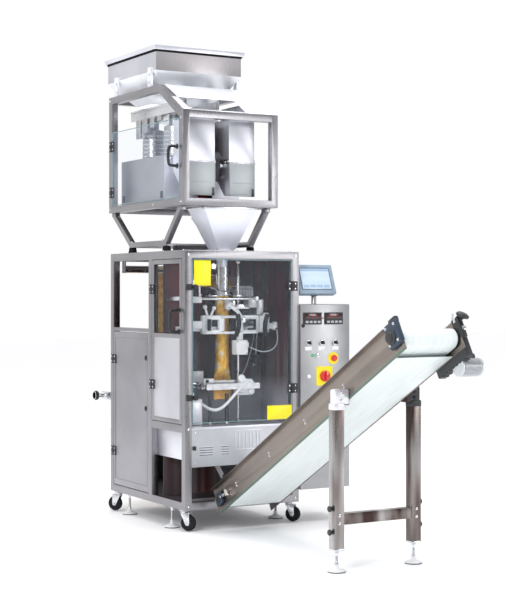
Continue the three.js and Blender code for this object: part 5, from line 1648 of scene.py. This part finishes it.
def make_conveyor():
    """Side plates, edge strips, bolts, belt guard, bearings and the take-up screws."""
    softened("conveyor_frame", plate_steel, 1.0, 2, "machine")
    strips = []
    for side in (-1, 1):
        # The upper strip stands for the light green line along the plates' top edge: partly the belt's green edge,
        # partly a painted highlight.
        x0, x1 = sorted((side * 152, side * 159.6))
        strips.append(flat(x0, x1, -1804, -18, 140, 143.5, green_strip, 1))
        x0, x1 = sorted((side * 159, side * 162))
        strips.append(flat(x0, x1, -1890, -6, 4, 9, green_strip, 0.8))
    bolts = []
    for side in (-1, 1):
        for y in (-250, -630, -1010, -1390):
            for z in (62, 78):
                bolts.append(flat_turned(side * 159, y, z, X * side, [(0, 6.5), (1.2, 6.5), (1.3, 4.6), (4.6, 4.6),
                                                                      (5.6, 3)], bright_steel, 12, 0.3))
    piece("conveyor_edge_strips", tilted(strips), "machine")
    piece("conveyor_bolts", tilted(bolts), "machine")
    guard = [flat(-155, 155, -1800, -112, 3, 6, white_belt, 0.8)]
    piece("return_guard", tilted(guard), "machine")
    blocks, chrome = [], []
    for side in (-1, 1):
        x0, x1 = sorted((side * 159, side * 176))
        blocks.append(flat(x0, x1, -92, -24, 36, 104, bearing_blue, 7))
        blocks.append(flat_turned(side * 176, -60, 70, X * side, [(0, 24), (5, 22), (7, 14)], black_plastic, 32, 1))
        for dy in (-26, 26):
            chrome.append(flat_turned(side * 176, -60 + dy, 70, X * side, cap_screw,
                                      bright_steel, 12, 0.3))
        chrome.append(flat_turned(side * 168, -92, 70, -Y, [(0, 5), (58, 5)], bright_steel, 20))
        chrome.append(flat_turned(side * 168, -104, 70, -Y, [(0, 10), (8, 10)], bright_steel, 6))
        chrome.append(flat(x0, x1, -146, -134, 52, 88, bright_steel, 2))
    blocks.append(flat(-182, -155, -1912, -1812, 30, 146, bearing_blue, 12))
    blocks.append(flat_turned(-182, -1852, 76, -X, [(0, 34), (6, 32), (9, 24), (16, 24), (18, 18)],
                              black_plastic, 36, 1.5))
    blocks.append(flat(-176, -152, -1908, -1850, 128, 158, black_plastic, 8))
    for dy, dz in ((-34, 38), (30, 44), (-30, -36), (34, -34)):
        chrome.append(flat_turned(-182, -1862 + dy, 84 + dz, -X, cap_screw, bright_steel, 12,
                                  0.3))
    blocks.append(flat(155, 184, -1914, -1860, 44, 150, black_plastic, 9))
    blocks.append(flat_turned(170, -1896, 118, Vector((0.2, -0.75, 0.6)),
                              [(0, 9), (26, 9), (28, 12), (34, 30), (46, 32), (52, 18)], black_plastic, 7, 5))
    chrome.append(flat_turned(170, -1886, 126, Z, [(0, 17), (30, 17), (32, 12), (46, 12)], bright_steel, 28, 1.5))
    chrome.append(flat_turned(176, -1900, 90, -Y, [(0, 12), (14, 12), (16, 8)], bright_steel, 28, 1))
    piece("conveyor_bearings", tilted(blocks), "machine")
    piece("belt_tensioners", tilted(chrome), "machine")
    shafts = []
    for side in (-1, 1):
        shafts.append(flat_turned(side * 173, -60, 70, X * side, [(0, 9.6), (3, 9.6)], bright_steel, 24))
    piece("tail_shaft_ends", tilted(shafts), "tail_roller_body")


def make_motor():
    """Long gear case with ribs and cover screws, and a finned motor with its terminal box."""
    head_y, x0 = -1844, 159.3
    box = [flat(x0, x0 + 42, head_y - 44, head_y + 190, -37, 103, gear_black, 8)]
    for step in range(8):
        y = head_y - 26 + step * 25
        box.append(flat(x0 + 40, x0 + 46, y, y + 8, -28, 92, gear_black, 2))
    for step in range(7):
        y = head_y - 16 + step * 28
        box.append(flat(x0 + 4, x0 + 38, y, y + 12, -40, -35, gear_black, 2))
    box.append(flat_turned(x0 + 42, head_y, 70, X, [(0, 32), (4, 32), (5, 22), (8, 22)], gear_black, 36, 1))
    centre = (head_y + 44, -50)
    body = [flat_turned(x0 + 8, *centre, X, [(0, 41), (6, 41), (7, 37), (106, 37), (107, 41), (114, 41), (117, 33)],
                        motor_alloy, 44, 0.8)]
    for step in range(18):
        body.append(flat_turned(x0 + 18 + step * 5.2, *centre, X, [(0, 36), (0.1, 41.5), (2.2, 41.5), (2.3, 36)],
                                motor_alloy, 40, 0.2))
    for dy, dz in round_places(26, corners):
        box.append(flat_turned(x0 + 46, head_y + dy, 70 + dz, X, [(0, 4), (3, 4)], bright_steel, 6, 0.3))
    for dy, dz in round_places(32, corners):
        body.append(flat_turned(x0 + 124.6, centre[0] + dy, centre[1] + dz, X, [(0, 4), (1.2, 4)],
                                bright_steel, 12, 0.3))
    box.append(flat(x0 + 50, x0 + 106, centre[0] - 22, centre[0] + 24, -12, 8, gear_black, 4))
    piece("gear_case", tilted(box), "machine", ["gear_motor"])
    piece("motor_case", tilted(body), "machine")


def make_conveyor_stand():
    """Legs with clamps, knobs and collars on both sides of the conveyor; the far right clamp and its screws are painted
    black as painted shade.
    """
    softened("conveyor_stand", stand_steel, 2.4, 3)
    leg_y, half = -1280, 214
    parts, dark = [], []
    top = (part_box("conveyor_stand")[1].z) / MM
    for side in (-1, 1):
        x = belt_x + side * half
        inner = belt_x + side * 160
        x0, x1 = sorted((inner, x + side * 22))
        # The far right clamp's shell and its screws are painted black: painted shade on the far side, where the left
        # clamp keeps its pale alloy.
        shell_shaded_on_right = clamp_white if side < 0 else black_plastic
        mine = parts if side < 0 else dark
        mine.append(block(x0, x1, leg_y - 25, leg_y + 25, top - 68, top + 2, shell_shaded_on_right, 9))
        mine.append(block(x - 27, x + 27, leg_y - 27, leg_y + 27, top - 92, top - 62, shell_shaded_on_right, 4))
        for dz in (-20, -50):
            mine.append(turned(spot(x - side * 10, leg_y - 25, top + dz), -Y, [(0, 10), (3, 10), (4, 7), (9, 7)],
                               bright_steel if side < 0 else black_plastic, 6, 0.8))
        for z in (180, 286):
            knob = turned(spot(x + side * 25, leg_y, z), X * side, [(0, 6), (6, 6), (6.5, 13), (16, 14), (19, 10)],
                          black_plastic, 12, 1.6)
            dark.append(knob)
        for y in (-18, 18):
            parts.append(hex_bolt(spot(x, leg_y - 25, 238 + y), -Y, 5))
        parts.append(block(x - 26.5, x + 26.5, leg_y - 26.5, leg_y + 26.5, 96, 106, bright_steel, 2))
    piece("stand_clamps", parts, "machine")
    piece("stand_knobs_and_shaded_right_clamp", dark, "machine")


# ---------- everything ----------
make_camera()
make_floor()
make_light()
keep_nodes()
make_feet()
make_cabinet()
make_table()
make_front_door()
make_front_side_door()
make_rear_side_door()
make_collar()
make_film()
make_web()
make_reel()
make_pulldown()
make_rails()
make_sealer()
make_jaws()
make_control_box()
make_operator_panel()
make_funnel()
make_weigher_frames()
make_hopper()
make_feeder()
make_buckets()
make_weigher_door()
make_conveyor()
make_motor()
make_conveyor_stand()
